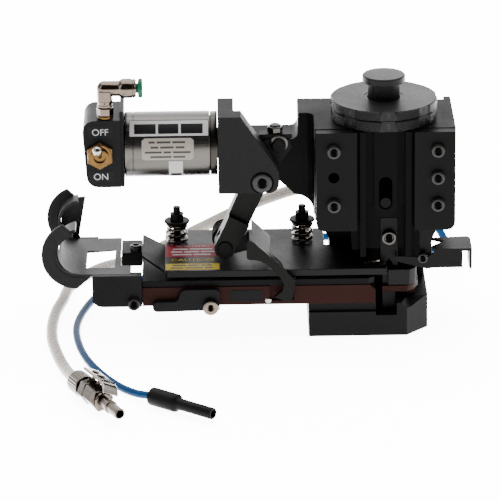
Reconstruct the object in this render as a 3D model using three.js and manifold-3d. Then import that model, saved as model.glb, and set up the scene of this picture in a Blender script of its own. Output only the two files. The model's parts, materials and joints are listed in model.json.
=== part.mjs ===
// Pneumatic-feed terminal applicator: a bench-press die set that feeds a strip of terminals
// under a ram. Millimetres, +Z up, +X towards the scrap side, +Y towards the back.
// The origin is on the ram's axis, on the underside of the base.
import * as THREE from 'three';
import { mergeVertices } from 'three/addons/utils/BufferGeometryUtils.js';
import Module from 'manifold-3d';

const wasm = await Module();
wasm.setup();

// ---------------------------------------------------------------- driving dimensions
const GAP = 0.3;                       // clearance left wherever two pieces meet

const BASE = { left: -40.7, right: 22.5, front: -27.8, back: 36, top: 18.2 };
const HEAD = { half: 36.7, front: -19.5, back: 33, bottom: 62, top: 112.3 };
const COLUMN = { front: 12, left: -28.5, right: 21.5 };
const ARM = { left: -78.7, front: 8.3, bottom: 66.9, top: 97.8 };

const GIB = { inner: 15, outer: 36.3, front: -26, back: -19.8, bottom: 58, top: 112 };
const GIB_SCREW_X = 27.1;
const GIB_SCREW_Z = [102.4, 87.5, 72.7];

const RAM = { half: 17.6, front: -19.2, back: 8.2, bottom: 45.3, top: 112 };
const RAM_FACE = { half: 13.4, front: -25.4, recess: -21.6, rib: 10.3 };
const RAM_STRIP = { half: 6, front: -24.2, end: 71 };
const PLUNGER = { radius: 2.6, slotHalf: 3.45, pinRadius: 2.8, pinZ: 72.6, travel: 11 };

const POST = { head: 11.3, neck: 8.3, headBottom: 132.1, top: 135.8 };
const DIAL = { radius: 28, bore: 8.7, lower: [112.7, 118.3], upper: [118.7, 123.7] };

const PUNCH = { x: 2, half: 4.5, front: -17.2, back: -8.7, bottom: 35.4, top: 62 };
const DIE_SCREW_Z = 51.7;

const TRACK = { left: -128, front: -27.8, back: 30, bottom: 18.5, top: 28.6 };
const GUIDE = { bottom: 28.9, top: 32.2 };
const DRAG = { left: -116, front: -27, back: 37, bottom: 33.8, top: 37.5 };
const STUD = { xs: [-109.7, -42.9], y: 18, radius: 1.95, top: 57.6 };
const DRAG_NUT = { bottom: 48.8, washer: 1.4, top: 54 };

const CYLINDER = { y: -7.5, z: 101.7, radius: 17, left: -135.8, right: -91.5 };
const BRACKET = { left: -87.2, wall: -79, front: -24, cheekBack: -12.4, bottom: 79, top: 120.8 };
const PIVOT = { x: -64.4, z: 84.7 };
const FORK_PIN = { x: -55.4, z: CYLINDER.z };
const PAWL_PIN = { x: -84.3, z: 45.7, radius: 3.8 };

const VALVE = { right: -137.8, front: -24, back: 9, bottom: 83.5, top: 120 };
const TOGGLE = { x: -148.6, z: 101.4, pivotY: -25.5 };
const ELBOW = { x: -145.5, y: -19, z: 136 };

const SHEET = 1.4;                     // thickness of the formed sheet pieces
const CURL = { x: -160, z: 48, inner: 12 };
const FLANGE = { x: -162, z: 47.5, inner: 11.6 };

const AIR_HOSE = { radius: 3, portX: -5, portZ: 64 };
const SIGNAL_HOSE = { radius: 2, portX: 6, portZ: 57 };
const PORT = { front: 33.3, back: 40.5, tip: 45 };

// ---------------------------------------------------------------- materials
const finish = (color, roughness, metalness) =>
  new THREE.MeshStandardMaterial({ color, roughness, metalness });

const blackOxide = () => finish(0x2b2c2e, 0.45, 0.6);
const castGrey = () => finish(0x3a3b3d, 0.6, 0.3);
const brightSteel = () => finish(0xb9b6ae, 0.3, 1);
const springSteel = () => finish(0x6f655a, 0.25, 1);
const chrome = () => finish(0xd8d8d8, 0.12, 1);
const brass = () => finish(0xb08d4f, 0.35, 1);
const brownAnodised = () => finish(0x6b4a43, 0.45, 0.5);
const blackPlastic = () => finish(0x1f2023, 0.5, 0);

// ---------------------------------------------------------------- solids
// A closed triangle geometry as a solid, with collapsed triangles left out.
function solid(geometry) {
  const bare = new THREE.BufferGeometry();
  bare.setAttribute('position', geometry.getAttribute('position').clone());
  if (geometry.index) bare.setIndex(geometry.index.clone());
  const merged = mergeVertices(bare, 1e-4);
  const corners = merged.index.array;
  const triangles = [];
  for (let i = 0; i < corners.length; i += 3) {
    const [a, b, c] = [corners[i], corners[i + 1], corners[i + 2]];
    if (a !== b && b !== c && c !== a) triangles.push(a, b, c);
  }
  return new wasm.Manifold(new wasm.Mesh({
    numProp: 3,
    vertProperties: Float32Array.from(merged.getAttribute('position').array),
    triVerts: Uint32Array.from(triangles),
  }));
}

const join = (...pieces) => pieces.reduce((whole, piece) => whole.add(piece));
const cut = (body, ...tools) => tools.reduce((whole, tool) => whole.subtract(tool), body);

function box(x0, x1, y0, y1, z0, z1) {
  const block = new THREE.BoxGeometry(x1 - x0, y1 - y0, z1 - z0);
  block.translate((x0 + x1) / 2, (y0 + y1) / 2, (z0 + z1) / 2);
  return solid(block);
}

const TURN = {                         // turns a cylinder or lathe from the Y axis
  x: (shape) => shape.rotateZ(-Math.PI / 2),
  y: (shape) => shape,
  z: (shape) => shape.rotateX(Math.PI / 2),
};

// A round bar along an axis, from one coordinate to another, centred on two others.
function bar(axis, radius, from, to, centre, sides = 24) {
  const shape = TURN[axis](new THREE.CylinderGeometry(radius, radius, to - from, sides));
  const middle = (from + to) / 2;
  const [p, q] = centre;
  const place = { x: [middle, p, q], y: [p, middle, q], z: [p, q, middle] }[axis];
  return solid(shape.translate(...place));
}

// A turned piece: the profile's points are [radius, distance along the axis].
function turned(axis, profile, sides = 24) {
  const points = profile.map(([radius, along]) => new THREE.Vector2(radius, along));
  return solid(TURN[axis](new THREE.LatheGeometry(points, sides)));
}

function outline(points) {
  return new THREE.Shape(points.map(([u, v]) => new THREE.Vector2(u, v)));
}

// An outline in X and Z, given thickness from y0 to y1.
function plateXZ(shape, y0, y1, curveSegments = 8) {
  const block = new THREE.ExtrudeGeometry(shape, { depth: y1 - y0, bevelEnabled: false, curveSegments });
  return solid(block.rotateX(Math.PI / 2).translate(0, y1, 0));
}

// An outline in X and Y, given thickness from z0 to z1.
function plateXY(shape, z0, z1, curveSegments = 8) {
  const block = new THREE.ExtrudeGeometry(shape, { depth: z1 - z0, bevelEnabled: false, curveSegments });
  return solid(block.translate(0, 0, z0));
}

function roundedBar(u0, u1, v0, v1, radius) {
  const shape = new THREE.Shape();
  shape.absarc(u1 - radius, v0 + radius, radius, -Math.PI / 2, 0, false);
  shape.absarc(u1 - radius, v1 - radius, radius, 0, Math.PI / 2, false);
  shape.absarc(u0 + radius, v1 - radius, radius, Math.PI / 2, Math.PI, false);
  shape.absarc(u0 + radius, v0 + radius, radius, Math.PI, Math.PI * 1.5, false);
  shape.closePath();
  return shape;
}

// A length of round wire or tube along a curve.
function swept(curve, radius, sides, steps) {
  const section = new THREE.Shape();
  for (let i = 0; i < sides; i += 1) {
    const angle = ((i + 0.5) / sides) * Math.PI * 2;
    const point = [Math.cos(angle) * radius, Math.sin(angle) * radius];
    if (i === 0) section.moveTo(...point);
    else section.lineTo(...point);
  }
  section.closePath();
  return solid(new THREE.ExtrudeGeometry(section, { steps, bevelEnabled: false, extrudePath: curve }));
}

class Helix extends THREE.Curve {
  constructor(radius, height, turns) {
    super();
    Object.assign(this, { radius, height, turns });
  }

  getPoint(t, target = new THREE.Vector3()) {
    const angle = t * this.turns * Math.PI * 2;
    return target.set(Math.cos(angle) * this.radius, Math.sin(angle) * this.radius, t * this.height);
  }
}

const coil = (radius, wire, height, turns) =>
  swept(new Helix(radius, height, turns), wire, 6, Math.round(turns * 11));

function hexagon(radius, turn = 0) {
  const corners = [];
  for (let i = 0; i < 6; i += 1) {
    const angle = turn + (i * Math.PI) / 3;
    corners.push([Math.cos(angle) * radius, Math.sin(angle) * radius]);
  }
  return outline(corners);
}

// A socket-head screw along +Y: its head's front face is at y = 0.
function socketScrew({ head, headDepth, shank, length, socket }) {
  const body = turned('y', [
    [0, 0], [head - 0.4, 0], [head, 0.4], [head, headDepth],
    [shank, headDepth], [shank, length], [0, length],
  ], 20);
  return cut(body, plateXZ(hexagon(socket), -1, headDepth * 0.55));
}

// ---------------------------------------------------------------- scene graph
const applicator = new THREE.Group();
const frame = new THREE.Group();
const ramGroup = new THREE.Group();
const feedGroup = new THREE.Group();
const trackGroup = new THREE.Group();
const airGroup = new THREE.Group();
applicator.add(frame, ramGroup, feedGroup, trackGroup, airGroup);

function piece(parent, name, body, material, position = [0, 0, 0]) {
  const { vertProperties, triVerts } = body.getMesh();
  const geometry = new THREE.BufferGeometry();
  geometry.setAttribute('position', new THREE.BufferAttribute(Float32Array.from(vertProperties), 3));
  geometry.setIndex(new THREE.BufferAttribute(Uint32Array.from(triVerts), 1));
  geometry.computeVertexNormals();
  const mesh = new THREE.Mesh(geometry, material);
  mesh.name = name;
  mesh.position.set(...position);
  parent.add(mesh);
  return mesh;
}

// ---------------------------------------------------------------- base
// A block with a chamfered front corner, a stepped front edge, a pocket for the anvil
// and a hollowed ramp where scrap slides off.
function basePlate() {
  const plan = outline([
    [BASE.left, BASE.front], [11, BASE.front], [BASE.right, -15.4],
    [BASE.right, BASE.back], [BASE.left, BASE.back],
  ]);
  const block = plateXY(plan, 0, BASE.top);
  const ledge = box(BASE.left - 1, -5.3, BASE.front - 1, BASE.front + 2, 13.5, BASE.top + 1);
  const pocket = box(-5.3, 5.7, BASE.front - 1, 6, 11.4, BASE.top + 1);
  const ramp = outline([[BASE.front - 1, 14], [BASE.front - 1, BASE.top + 1], [-14, BASE.top + 1]]);
  const rampTool = new THREE.ExtrudeGeometry(ramp, { depth: 12, bevelEnabled: false });
  rampTool.rotateX(Math.PI / 2).rotateZ(Math.PI / 2).translate(13.5, 0, 0);
  const slope = Math.atan2(BASE.top + 1 - 14, BASE.front * -1 + 1 - 14);
  const scoop = new THREE.CylinderGeometry(6, 6, 24, 28).rotateX(slope).translate(14, -23.4, 22.3);
  return cut(block, ledge, pocket, solid(rampTool), solid(scoop));
}
piece(frame, 'base_plate', basePlate(), finish(0x4c4d4e, 0.5, 0.6));

// ---------------------------------------------------------------- frame casting
// One casting: a column that flares into a square head, and an arm for the feed.
function frameColumn() {
  const columnShape = outline([
    [COLUMN.left, BASE.top + GAP], [COLUMN.right, BASE.top + GAP], [COLUMN.right, 30], [25.2, 40],
    [28.4, 47], [HEAD.half, 61.5], [HEAD.half, 66], [-HEAD.half, 66], [-HEAD.half, 55],
    [-32, 47], [COLUMN.left, 40],
  ]);
  const column = plateXZ(columnShape, COLUMN.front, HEAD.back);
  const head = box(-HEAD.half, HEAD.half, HEAD.front, HEAD.back, HEAD.bottom, HEAD.top);

  const armShape = new THREE.Shape();
  armShape.moveTo(ARM.left, ARM.bottom);
  armShape.absarc(-46.5, ARM.bottom - 9.8, 9.8, Math.PI / 2, 0, true);
  armShape.lineTo(-30, ARM.bottom - 9.8);
  armShape.lineTo(-30, HEAD.top);
  armShape.lineTo(-44.9, HEAD.top);
  armShape.absarc(-48.9, ARM.top + 4, 4, 0, -Math.PI / 2, true);
  armShape.lineTo(ARM.left, ARM.top);
  armShape.closePath();
  const arm = plateXZ(armShape, ARM.front, HEAD.back);

  const cornerShape = new THREE.Shape();
  cornerShape.absarc(-HEAD.half - 5, ARM.front - 4.9, 5, Math.PI / 2, 0, true);
  cornerShape.lineTo(-HEAD.half + 1, ARM.front - 4.9);
  cornerShape.lineTo(-HEAD.half + 1, ARM.front + 1);
  cornerShape.lineTo(-HEAD.half - 5, ARM.front + 1);
  cornerShape.closePath();
  const corner = plateXY(cornerShape, ARM.bottom, HEAD.top);

  const ramChannel = box(-18, 18, HEAD.front - 1, RAM.back + 0.4, HEAD.bottom - 1, HEAD.top + 1);
  const backNotch = box(28, 33, 28, HEAD.back + 1, 106, HEAD.top + 1);
  const pivotHole = bar('y', 3.5, ARM.front - 1, 22, [PIVOT.x, PIVOT.z]);
  const screwHoles = [];
  for (const side of [-1, 1]) {
    for (const z of GIB_SCREW_Z) {
      screwHoles.push(bar('y', 2.3, HEAD.front - 1, -10, [side * GIB_SCREW_X, z], 16));
    }
  }
  return cut(join(column, head, arm, corner), ramChannel, backNotch, pivotHole, ...screwHoles);
}
piece(frame, 'frame_column', frameColumn(), castGrey());

// ---------------------------------------------------------------- gib plates and screws
// The plates close the ram's channel at the front. The left plate's middle hole is empty.
function gibPlate(side) {
  const corner = 5;
  const shape = new THREE.Shape();
  shape.moveTo(side * GIB.inner, GIB.bottom);
  shape.lineTo(side * (GIB.outer - corner), GIB.bottom);
  shape.quadraticCurveTo(side * GIB.outer, GIB.bottom, side * GIB.outer, GIB.bottom + corner);
  shape.lineTo(side * GIB.outer, GIB.top);
  shape.lineTo(side * GIB.inner, GIB.top);
  shape.closePath();
  const holes = GIB_SCREW_Z.map((z, row) => {
    const radius = side < 0 && row === 1 ? 2.9 : 2.3;
    return bar('y', radius, GIB.front - 1, GIB.back + 1, [side * GIB_SCREW_X, z], 16);
  });
  return cut(plateXZ(shape, GIB.front, GIB.back), ...holes);
}
piece(frame, 'gib_plate_left', gibPlate(-1), blackOxide());
piece(frame, 'gib_plate_right', gibPlate(1), blackOxide());

const GIB_SCREW = { head: 3.55, headDepth: 3, shank: 2, length: 15, socket: 1.7 };
const gibScrewPlaces = [
  [1, GIB_SCREW_Z[0]], [1, GIB_SCREW_Z[1]], [1, GIB_SCREW_Z[2]], [-1, GIB_SCREW_Z[0]], [-1, GIB_SCREW_Z[2]],
];
gibScrewPlaces.forEach(([side, z], index) => {
  const place = [side * GIB_SCREW_X, GIB.front - GAP - GIB_SCREW.headDepth, z];
  piece(frame, `gib_screw_${index + 1}`, socketScrew(GIB_SCREW), blackOxide(), place);
});

// ---------------------------------------------------------------- ram
function ramBody() {
  const { half, front, back, bottom, top } = RAM;
  const slide = box(-half, half, front, back, bottom, top);
  const face = box(-RAM_FACE.half, RAM_FACE.half, RAM_FACE.front, front + 0.5, bottom - 1.9, top);
  const above = top + 1;
  const out = RAM_FACE.front - 1;
  const strip = RAM_STRIP.half;
  const grooves = [-1, 1].map((side) => {
    const [low, high] = side < 0 ? [-RAM_FACE.rib, -strip] : [strip, RAM_FACE.rib];
    return box(low, high, out, RAM_FACE.recess, bottom, above);
  });
  const stripFace = box(-strip, strip, out, RAM_STRIP.front, bottom, above);
  const lowerPocket = cut(
    box(-RAM_FACE.rib, RAM_FACE.rib, out, -17.5, bottom - 3, RAM_STRIP.end),
    bar('y', strip, out, -16, [0, RAM_STRIP.end], 28),
  );
  const slotHigh = PLUNGER.pinZ + PLUNGER.travel;
  const slotShape = roundedBar(
    -PLUNGER.slotHalf, PLUNGER.slotHalf,
    PLUNGER.pinZ - PLUNGER.slotHalf, slotHigh + PLUNGER.slotHalf, PLUNGER.slotHalf - 0.01,
  );
  const slot = plateXZ(slotShape, out, 3);
  const plungerBore = bar('z', PLUNGER.radius + 0.4, bottom - 2, 100.3, [0, 0]);
  const postBore = bar('z', 5.3, 103, above, [0, 0]);
  const punchSlot = box(
    PUNCH.x - PUNCH.half - GAP, PUNCH.x + PUNCH.half + GAP,
    -18.5, PUNCH.back + GAP, bottom - 1, PUNCH.top + GAP,
  );
  const dieScrewHole = bar('y', 2.3, PUNCH.back, -4.2, [PUNCH.x, DIE_SCREW_Z], 16);
  return cut(
    join(slide, face), ...grooves, stripFace, lowerPocket, slot,
    plungerBore, postBore, punchSlot, dieScrewHole,
  );
}
piece(ramGroup, 'ram', ramBody(), blackOxide());

// The post screws into the ram: a T-head for the press, a flatted neck, and the dials' journal.
function ramPost() {
  const body = turned('z', [
    [0, 103.3], [5, 103.3], [5, RAM.top + GAP], [POST.neck, RAM.top + GAP], [POST.neck, POST.headBottom],
    [POST.head, POST.headBottom], [POST.head, POST.top - 0.5], [POST.head - 0.5, POST.top], [0, POST.top],
  ], 32);
  const flat = (side) => {
    const [low, high] = side < 0 ? [-10, -7.2] : [7.2, 10];
    return box(-10, 10, low, high, 124.5, POST.headBottom - 0.6);
  };
  return cut(body, flat(-1), flat(1));
}
piece(ramGroup, 'ram_post', ramPost(), blackOxide());

// A setting dial: a ring with a numbered flat at every eighth of a turn.
function dial([bottom, top], radius) {
  const ring = turned('z', [
    [DIAL.bore, bottom], [radius, bottom], [radius, top - 0.4], [radius - 0.4, top], [DIAL.bore, top],
    [DIAL.bore, bottom],
  ], 64);
  const flats = [];
  for (let i = 0; i < 8; i += 1) {
    const tool = new THREE.BoxGeometry(8, 4, top - bottom + 1);
    tool.translate(0, -radius - 2 + 0.7, (bottom + top) / 2).rotateZ((i * Math.PI) / 4 + 0.05);
    flats.push(solid(tool));
  }
  return cut(ring, ...flats);
}
piece(ramGroup, 'dial_lower', dial(DIAL.lower, DIAL.radius - 0.2), blackOxide());
piece(ramGroup, 'dial_upper', dial(DIAL.upper, DIAL.radius), blackOxide());

// ---------------------------------------------------------------- tooling in the ram
function crimpPunch() {
  const body = box(
    PUNCH.x - PUNCH.half, PUNCH.x + PUNCH.half, PUNCH.front, PUNCH.back, PUNCH.bottom, PUNCH.top,
  );
  const arch = bar('y', 1.9, PUNCH.front - 1, PUNCH.back + 1, [PUNCH.x, PUNCH.bottom + 0.8], 20);
  const mouth = plateXZ(outline([
    [PUNCH.x - 2.6, PUNCH.bottom - 1], [PUNCH.x + 2.6, PUNCH.bottom - 1], [PUNCH.x, PUNCH.bottom + 4],
  ]), PUNCH.front - 1, PUNCH.back + 1);
  const hole = bar('y', 2.3, PUNCH.front - 1, PUNCH.back + 1, [PUNCH.x, DIE_SCREW_Z], 16);
  return cut(body, arch, mouth, hole);
}
piece(ramGroup, 'crimp_punch', crimpPunch(), finish(0x3c3d40, 0.35, 0.9));

const DIE_SCREW = { head: 3.85, headDepth: 3, shank: 2, length: 15.8, socket: 1.9 };
piece(ramGroup, 'die_screw', socketScrew(DIE_SCREW), brightSteel(),
  [PUNCH.x, PUNCH.front - GAP - DIE_SCREW.headDepth, DIE_SCREW_Z]);

// The hold-down plunger: its cross pin rides in the ram's slot and a coil presses it down.
const plunger = join(
  bar('z', PLUNGER.radius, 36, 75.6, [0, 0]),
  bar('y', PLUNGER.pinRadius, -23.6, 0, [0, PLUNGER.pinZ], 20),
);
piece(ramGroup, 'hold_down_plunger', plunger, brightSteel());
piece(ramGroup, 'plunger_spring', coil(1.9, 0.45, 22.5, 8), springSteel(), [0, 0, 76.6]);

// ---------------------------------------------------------------- anvil and exit plate
const anvilBody = cut(
  box(-1.6, 5.4, -19, -6, 11.4 + GAP, 33),
  bar('y', 1.3, -20, -5, [PUNCH.x - 0.1, 33.3], 16),
);
piece(frame, 'anvil', anvilBody, finish(0x55565a, 0.3, 0.9));

const exitPlan = outline([
  [-1.9, -21.5], [11.5, -21.5], [14.8, -18.5], [17.5, -12], [17.5, 6], [5.8, 6], [5.8, -19.4], [-1.9, -19.4],
]);
const exitPlate = join(plateXY(exitPlan, 22.2, 25.6), box(7, 16, -14, 5, BASE.top + GAP, 22.5));
piece(frame, 'exit_plate', exitPlate, brownAnodised());

// ---------------------------------------------------------------- strip track
function steppedPlan(left, front, back, right) {
  return outline([
    [left, front], [right - 3, front], [right, front + 3], [right, 11], [-33, 11], [-33, back], [left, back],
  ]);
}
const studHoles = (radius) => STUD.xs.map((x) => bar('z', radius, 10, 45, [x, STUD.y], 16));

function trackBase() {
  const plan = outline([
    [TRACK.left, TRACK.front], [-5.5, TRACK.front], [-5.5, 11], [-33, 11], [-33, TRACK.back],
    [TRACK.left, TRACK.back],
  ]);
  const bedPlate = plateXY(plan, TRACK.bottom, TRACK.top);
  const screwLug = box(-97, -87.5, TRACK.front, -15, 15.6, TRACK.bottom + 1);
  const fingerPocket = box(-61, -48.5, TRACK.front - 1, TRACK.front + 2, 20.5, TRACK.top + 1);
  const endChamfer = plateXZ(outline([
    [-8.5, TRACK.top + 0.1], [-5, TRACK.top + 0.1], [-5, 25.1],
  ]), TRACK.front - 1, 12);
  const releaseHole = bar('y', 2.3, TRACK.front - 1, -17, [-92.2, 19.4], 16);
  return cut(join(bedPlate, screwLug), fingerPocket, endChamfer, releaseHole, ...studHoles(2.25));
}
piece(trackGroup, 'track_base', trackBase(), brownAnodised());

const guidePlan = steppedPlan(TRACK.left, TRACK.front + 0.5, TRACK.back, -6);
piece(trackGroup, 'guide_plate', cut(plateXY(guidePlan, GUIDE.bottom, GUIDE.top), ...studHoles(2.25)),
  blackOxide());

function dragPlate() {
  const plan = outline([
    [DRAG.left + 1.5, DRAG.front], [0.5, DRAG.front], [0.5, -21.5], [-6.3, -21.5], [-6.3, 10.8],
    [-31.3, 10.8], [-31.3, DRAG.back], [DRAG.left, DRAG.back], [DRAG.left, DRAG.front + 1.5],
  ]);
  return cut(plateXY(plan, DRAG.bottom, DRAG.top), ...studHoles(2.7));
}
piece(trackGroup, 'drag_plate', dragPlate(), finish(0x1c1c1e, 0.25, 0.2));

// A sheet lip that leads the strip in under the drag plate.
function leadInFlap() {
  const slope = plateXZ(outline([
    [-116.3, 35.9], [-116.3, 37.3], [-127.9, 42.4], [-127.9, 41],
  ]), -30, 30);
  const plan = plateXY(outline([[-129, -15], [-116.3, -25], [-116.3, 14], [-129, 18]]), 30, 50);
  return slope.intersect(plan);
}
piece(trackGroup, 'lead_in_flap', leadInFlap(), blackOxide());

const dragNut = () => cut(
  join(
    bar('z', 6.8, DRAG_NUT.bottom, DRAG_NUT.bottom + DRAG_NUT.washer, [0, 0], 28),
    plateXY(hexagon(4.04, Math.PI / 6), DRAG_NUT.bottom + DRAG_NUT.washer - 0.1, DRAG_NUT.top),
  ),
  bar('z', 2.25, DRAG_NUT.bottom - 1, DRAG_NUT.top + 1, [0, 0], 16),
);
STUD.xs.forEach((x, index) => {
  const side = index === 0 ? 'left' : 'right';
  const place = [x, STUD.y, 0];
  const studBar = bar('z', STUD.radius, 19, STUD.top, [0, 0], 16);
  piece(trackGroup, `drag_stud_${side}`, studBar, blackOxide(), place);
  piece(trackGroup, `drag_nut_${side}`, dragNut(), blackOxide(), place);
  piece(trackGroup, `drag_spring_${side}`, coil(4.9, 0.75, 9.1, 4.5), springSteel(), [x, STUD.y, 38.6]);
});

// ---------------------------------------------------------------- drag release lever
const RELEASE = { x: -92.2, z: 19.4, front: -31.4, back: -28.5 };
function releaseLever() {
  const shape = new THREE.Shape();
  shape.moveTo(-87.5, 17);
  shape.lineTo(-87.5, 25.5);
  shape.quadraticCurveTo(-87.6, 28.5, -90.6, 28.5);
  shape.lineTo(-105.5, 28.3);
  shape.quadraticCurveTo(-107.6, 28.2, -108.3, 25.5);
  shape.quadraticCurveTo(-109.2, 21.7, -111.5, 21.7);
  shape.lineTo(-120, 21.7);
  shape.absarc(-120, 19, 2.7, Math.PI / 2, Math.PI * 1.5, false);
  shape.closePath();
  const hole = bar('y', 2.3, RELEASE.front - 1, RELEASE.back + 1, [RELEASE.x, RELEASE.z], 16);
  return cut(plateXZ(shape, RELEASE.front, RELEASE.back), hole);
}
piece(trackGroup, 'release_lever', releaseLever(), finish(0x26272a, 0.5, 0.4));
const RELEASE_SCREW = { head: 4.1, headDepth: 3.2, shank: 2, length: 17, socket: 1.2 };
piece(trackGroup, 'release_screw', socketScrew(RELEASE_SCREW), brightSteel(),
  [RELEASE.x, RELEASE.front - GAP - RELEASE_SCREW.headDepth, RELEASE.z]);

// ---------------------------------------------------------------- strip guide
// A formed sheet: a flat bed with a window, curled up at the outer end.
function curlProfile(endAngle) {
  const outer = CURL.inner + SHEET;
  const shape = new THREE.Shape();
  shape.moveTo(-139.5, CURL.z - outer);
  shape.absarc(CURL.x, CURL.z, outer, Math.PI * 1.5, endAngle, true);
  shape.absarc(CURL.x, CURL.z, CURL.inner, endAngle, Math.PI * 1.5, false);
  shape.lineTo(-139.5, CURL.z - CURL.inner);
  shape.closePath();
  return shape;
}
function stripGuide() {
  const bed = CURL.z - CURL.inner;
  const frontCurl = plateXZ(curlProfile(Math.PI * 0.56), -26, -13, 16);
  const middle = plateXZ(curlProfile(Math.PI * 1.14), -13.1, 20.1, 16);
  const backCurl = plateXZ(curlProfile(Math.PI * 0.56), 20, 30, 16);
  const backWall = plateXZ(outline([
    [-171.5, 42], [-172, 52], [-166.5, 59.6], [-158.6, 60], [-163, 35.2], [-167, 36],
  ]), 28.6, 30);
  const frontTab = box(-140, -134, -26, -13, bed - SHEET, bed);
  const window = box(-157.5, -142.5, -16, 10, bed - 4, bed + 2);
  return cut(join(frontCurl, middle, backCurl, backWall, frontTab), window);
}
piece(trackGroup, 'strip_guide', stripGuide(), finish(0x8a8c90, 0.55, 0.6));

// Curved side flanges that keep the strip on the guide.
function guideFlange(outer, y0, y1, tail) {
  const shape = new THREE.Shape();
  shape.moveTo(tail, FLANGE.z - outer);
  shape.absarc(FLANGE.x, FLANGE.z, outer, Math.PI * 1.5, Math.PI * 0.62, true);
  shape.absarc(FLANGE.x, FLANGE.z, FLANGE.inner, Math.PI * 0.54, Math.PI * 1.5, false);
  shape.lineTo(tail, FLANGE.z - FLANGE.inner);
  shape.closePath();
  return plateXZ(shape, y0, y1, 20);
}
piece(trackGroup, 'guide_flange_front', guideFlange(18.4, -29, -26.3, -154.6), blackPlastic());
piece(trackGroup, 'guide_flange_rear', guideFlange(17.4, 30.3, 33, -152), blackPlastic());

function guideBlock() {
  const face = new THREE.Shape();
  face.moveTo(-154.2, 36);
  face.lineTo(-154.2, 24.7);
  face.quadraticCurveTo(-154.2, 18.7, -148.2, 18.7);
  face.lineTo(-128.3, 18.7);
  face.lineTo(-128.3, 33);
  face.quadraticCurveTo(-128.3, 36, -131.3, 36);
  face.closePath();
  return join(plateXZ(face, -29.3, -26.3), box(-154.2, -128.3, -26.4, -19, 20, 34.3));
}
piece(trackGroup, 'guide_block', guideBlock(), blackPlastic());
piece(trackGroup, 'strip_brake', box(-139.2, -128.3, 2, 22, 30, 37.5), blackPlastic());

// ---------------------------------------------------------------- cylinder bracket
function cylinderBracket() {
  const { left, wall, front, cheekBack, bottom, top } = BRACKET;
  const cheekShape = new THREE.Shape();
  cheekShape.moveTo(left, bottom);
  cheekShape.lineTo(-61.5, bottom);
  cheekShape.quadraticCurveTo(-56, bottom, -55.5, 85);
  cheekShape.quadraticCurveTo(-55, 90, -57.4, 94);
  cheekShape.lineTo(-75.3, top);
  cheekShape.lineTo(left, top);
  cheekShape.closePath();
  const cheek = plateXZ(cheekShape, front, cheekBack);
  const wallBlock = box(left, wall, front, 9, bottom, top);
  const foot = box(left, wall, 8.9, HEAD.back, bottom, 97.5);
  const nose = bar('x', 8.4, left - 1, wall + 1, [CYLINDER.y, CYLINDER.z]);
  const pivotHole = bar('y', 3.5, front - 1, cheekBack + 1, [PIVOT.x, PIVOT.z]);
  const counterbore = bar('y', 6, front - 1, front + 2.2, [PIVOT.x, PIVOT.z], 28);
  return cut(join(cheek, wallBlock, foot), nose, pivotHole, counterbore);
}
piece(feedGroup, 'cylinder_bracket', cylinderBracket(), castGrey());
const PIVOT_SCREW = { head: 5.2, headDepth: 2.9, shank: 3.2, length: 44, socket: 2.4 };
piece(feedGroup, 'pivot_screw', socketScrew(PIVOT_SCREW), blackOxide(), [PIVOT.x, -24.9, PIVOT.z]);

// ---------------------------------------------------------------- feed lever and pawl
// The lever swings on the pivot screw. Its upper fork straddles the rod end, and its lower
// fork carries the pawl.
const LEVER = { front: -12.1, back: -2.5, toeFront: -16 };
function feedLever() {
  const legShape = outline([
    [-74, 88], [-77.4, 74.3], [-84.4, 58], [-89.8, 47], [-79.8, 43.7], [-71.4, 58], [-64, 74.1], [-58, 86],
  ]);
  const leg = plateXZ(legShape, LEVER.front, LEVER.back);
  const toeShape = outline([
    [-82, 63.6], [-84.6, 57.6], [-89.8, 47], [-79.8, 43.7], [-71.4, 58],
  ]);
  const toe = plateXZ(toeShape, LEVER.toeFront, LEVER.back);
  const boss = bar('y', 5.6, LEVER.toeFront, LEVER.back, [PAWL_PIN.x, PAWL_PIN.z], 28);
  const headShape = outline([
    [-72, 90], [-62.4, 104.6], [-50, 104.6], [-48.6, 100.5], [-55.2, 90.2], [-57.5, 84],
  ]);
  const forkHead = plateXZ(headShape, LEVER.front, LEVER.back);
  const hub = bar('y', 7, LEVER.front, 8, [PIVOT.x, PIVOT.z], 28);
  const bore = bar('y', 3.5, LEVER.toeFront - 1, 9, [PIVOT.x, PIVOT.z]);
  const rodSlot = box(-74, -46, -10.4, -4.6, 95, 106);
  const pinSlot = new THREE.BoxGeometry(5.6, 20, 12);
  pinSlot.translate(0, 0, 5.2).rotateY(0.487).translate(FORK_PIN.x, CYLINDER.y, FORK_PIN.z);
  const pinSeat = bar('y', 2.8, -14, 0, [FORK_PIN.x, FORK_PIN.z]);
  const pawlSlot = box(-96, -70, -12.6, -5.9, 35, 53.5);
  const pawlBore = bar('y', PAWL_PIN.radius + GAP, -18, 0, [PAWL_PIN.x, PAWL_PIN.z]);
  const blank = join(leg, toe, boss, forkHead, hub);
  return cut(blank, bore, rodSlot, solid(pinSlot), pinSeat, pawlSlot, pawlBore);
}
piece(feedGroup, 'feed_lever', feedLever(), finish(0x2e2f2c, 0.4, 0.5));
piece(feedGroup, 'pawl_pin', bar('y', PAWL_PIN.radius, -17, 14.2, [PAWL_PIN.x, PAWL_PIN.z]), blackOxide());

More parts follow.
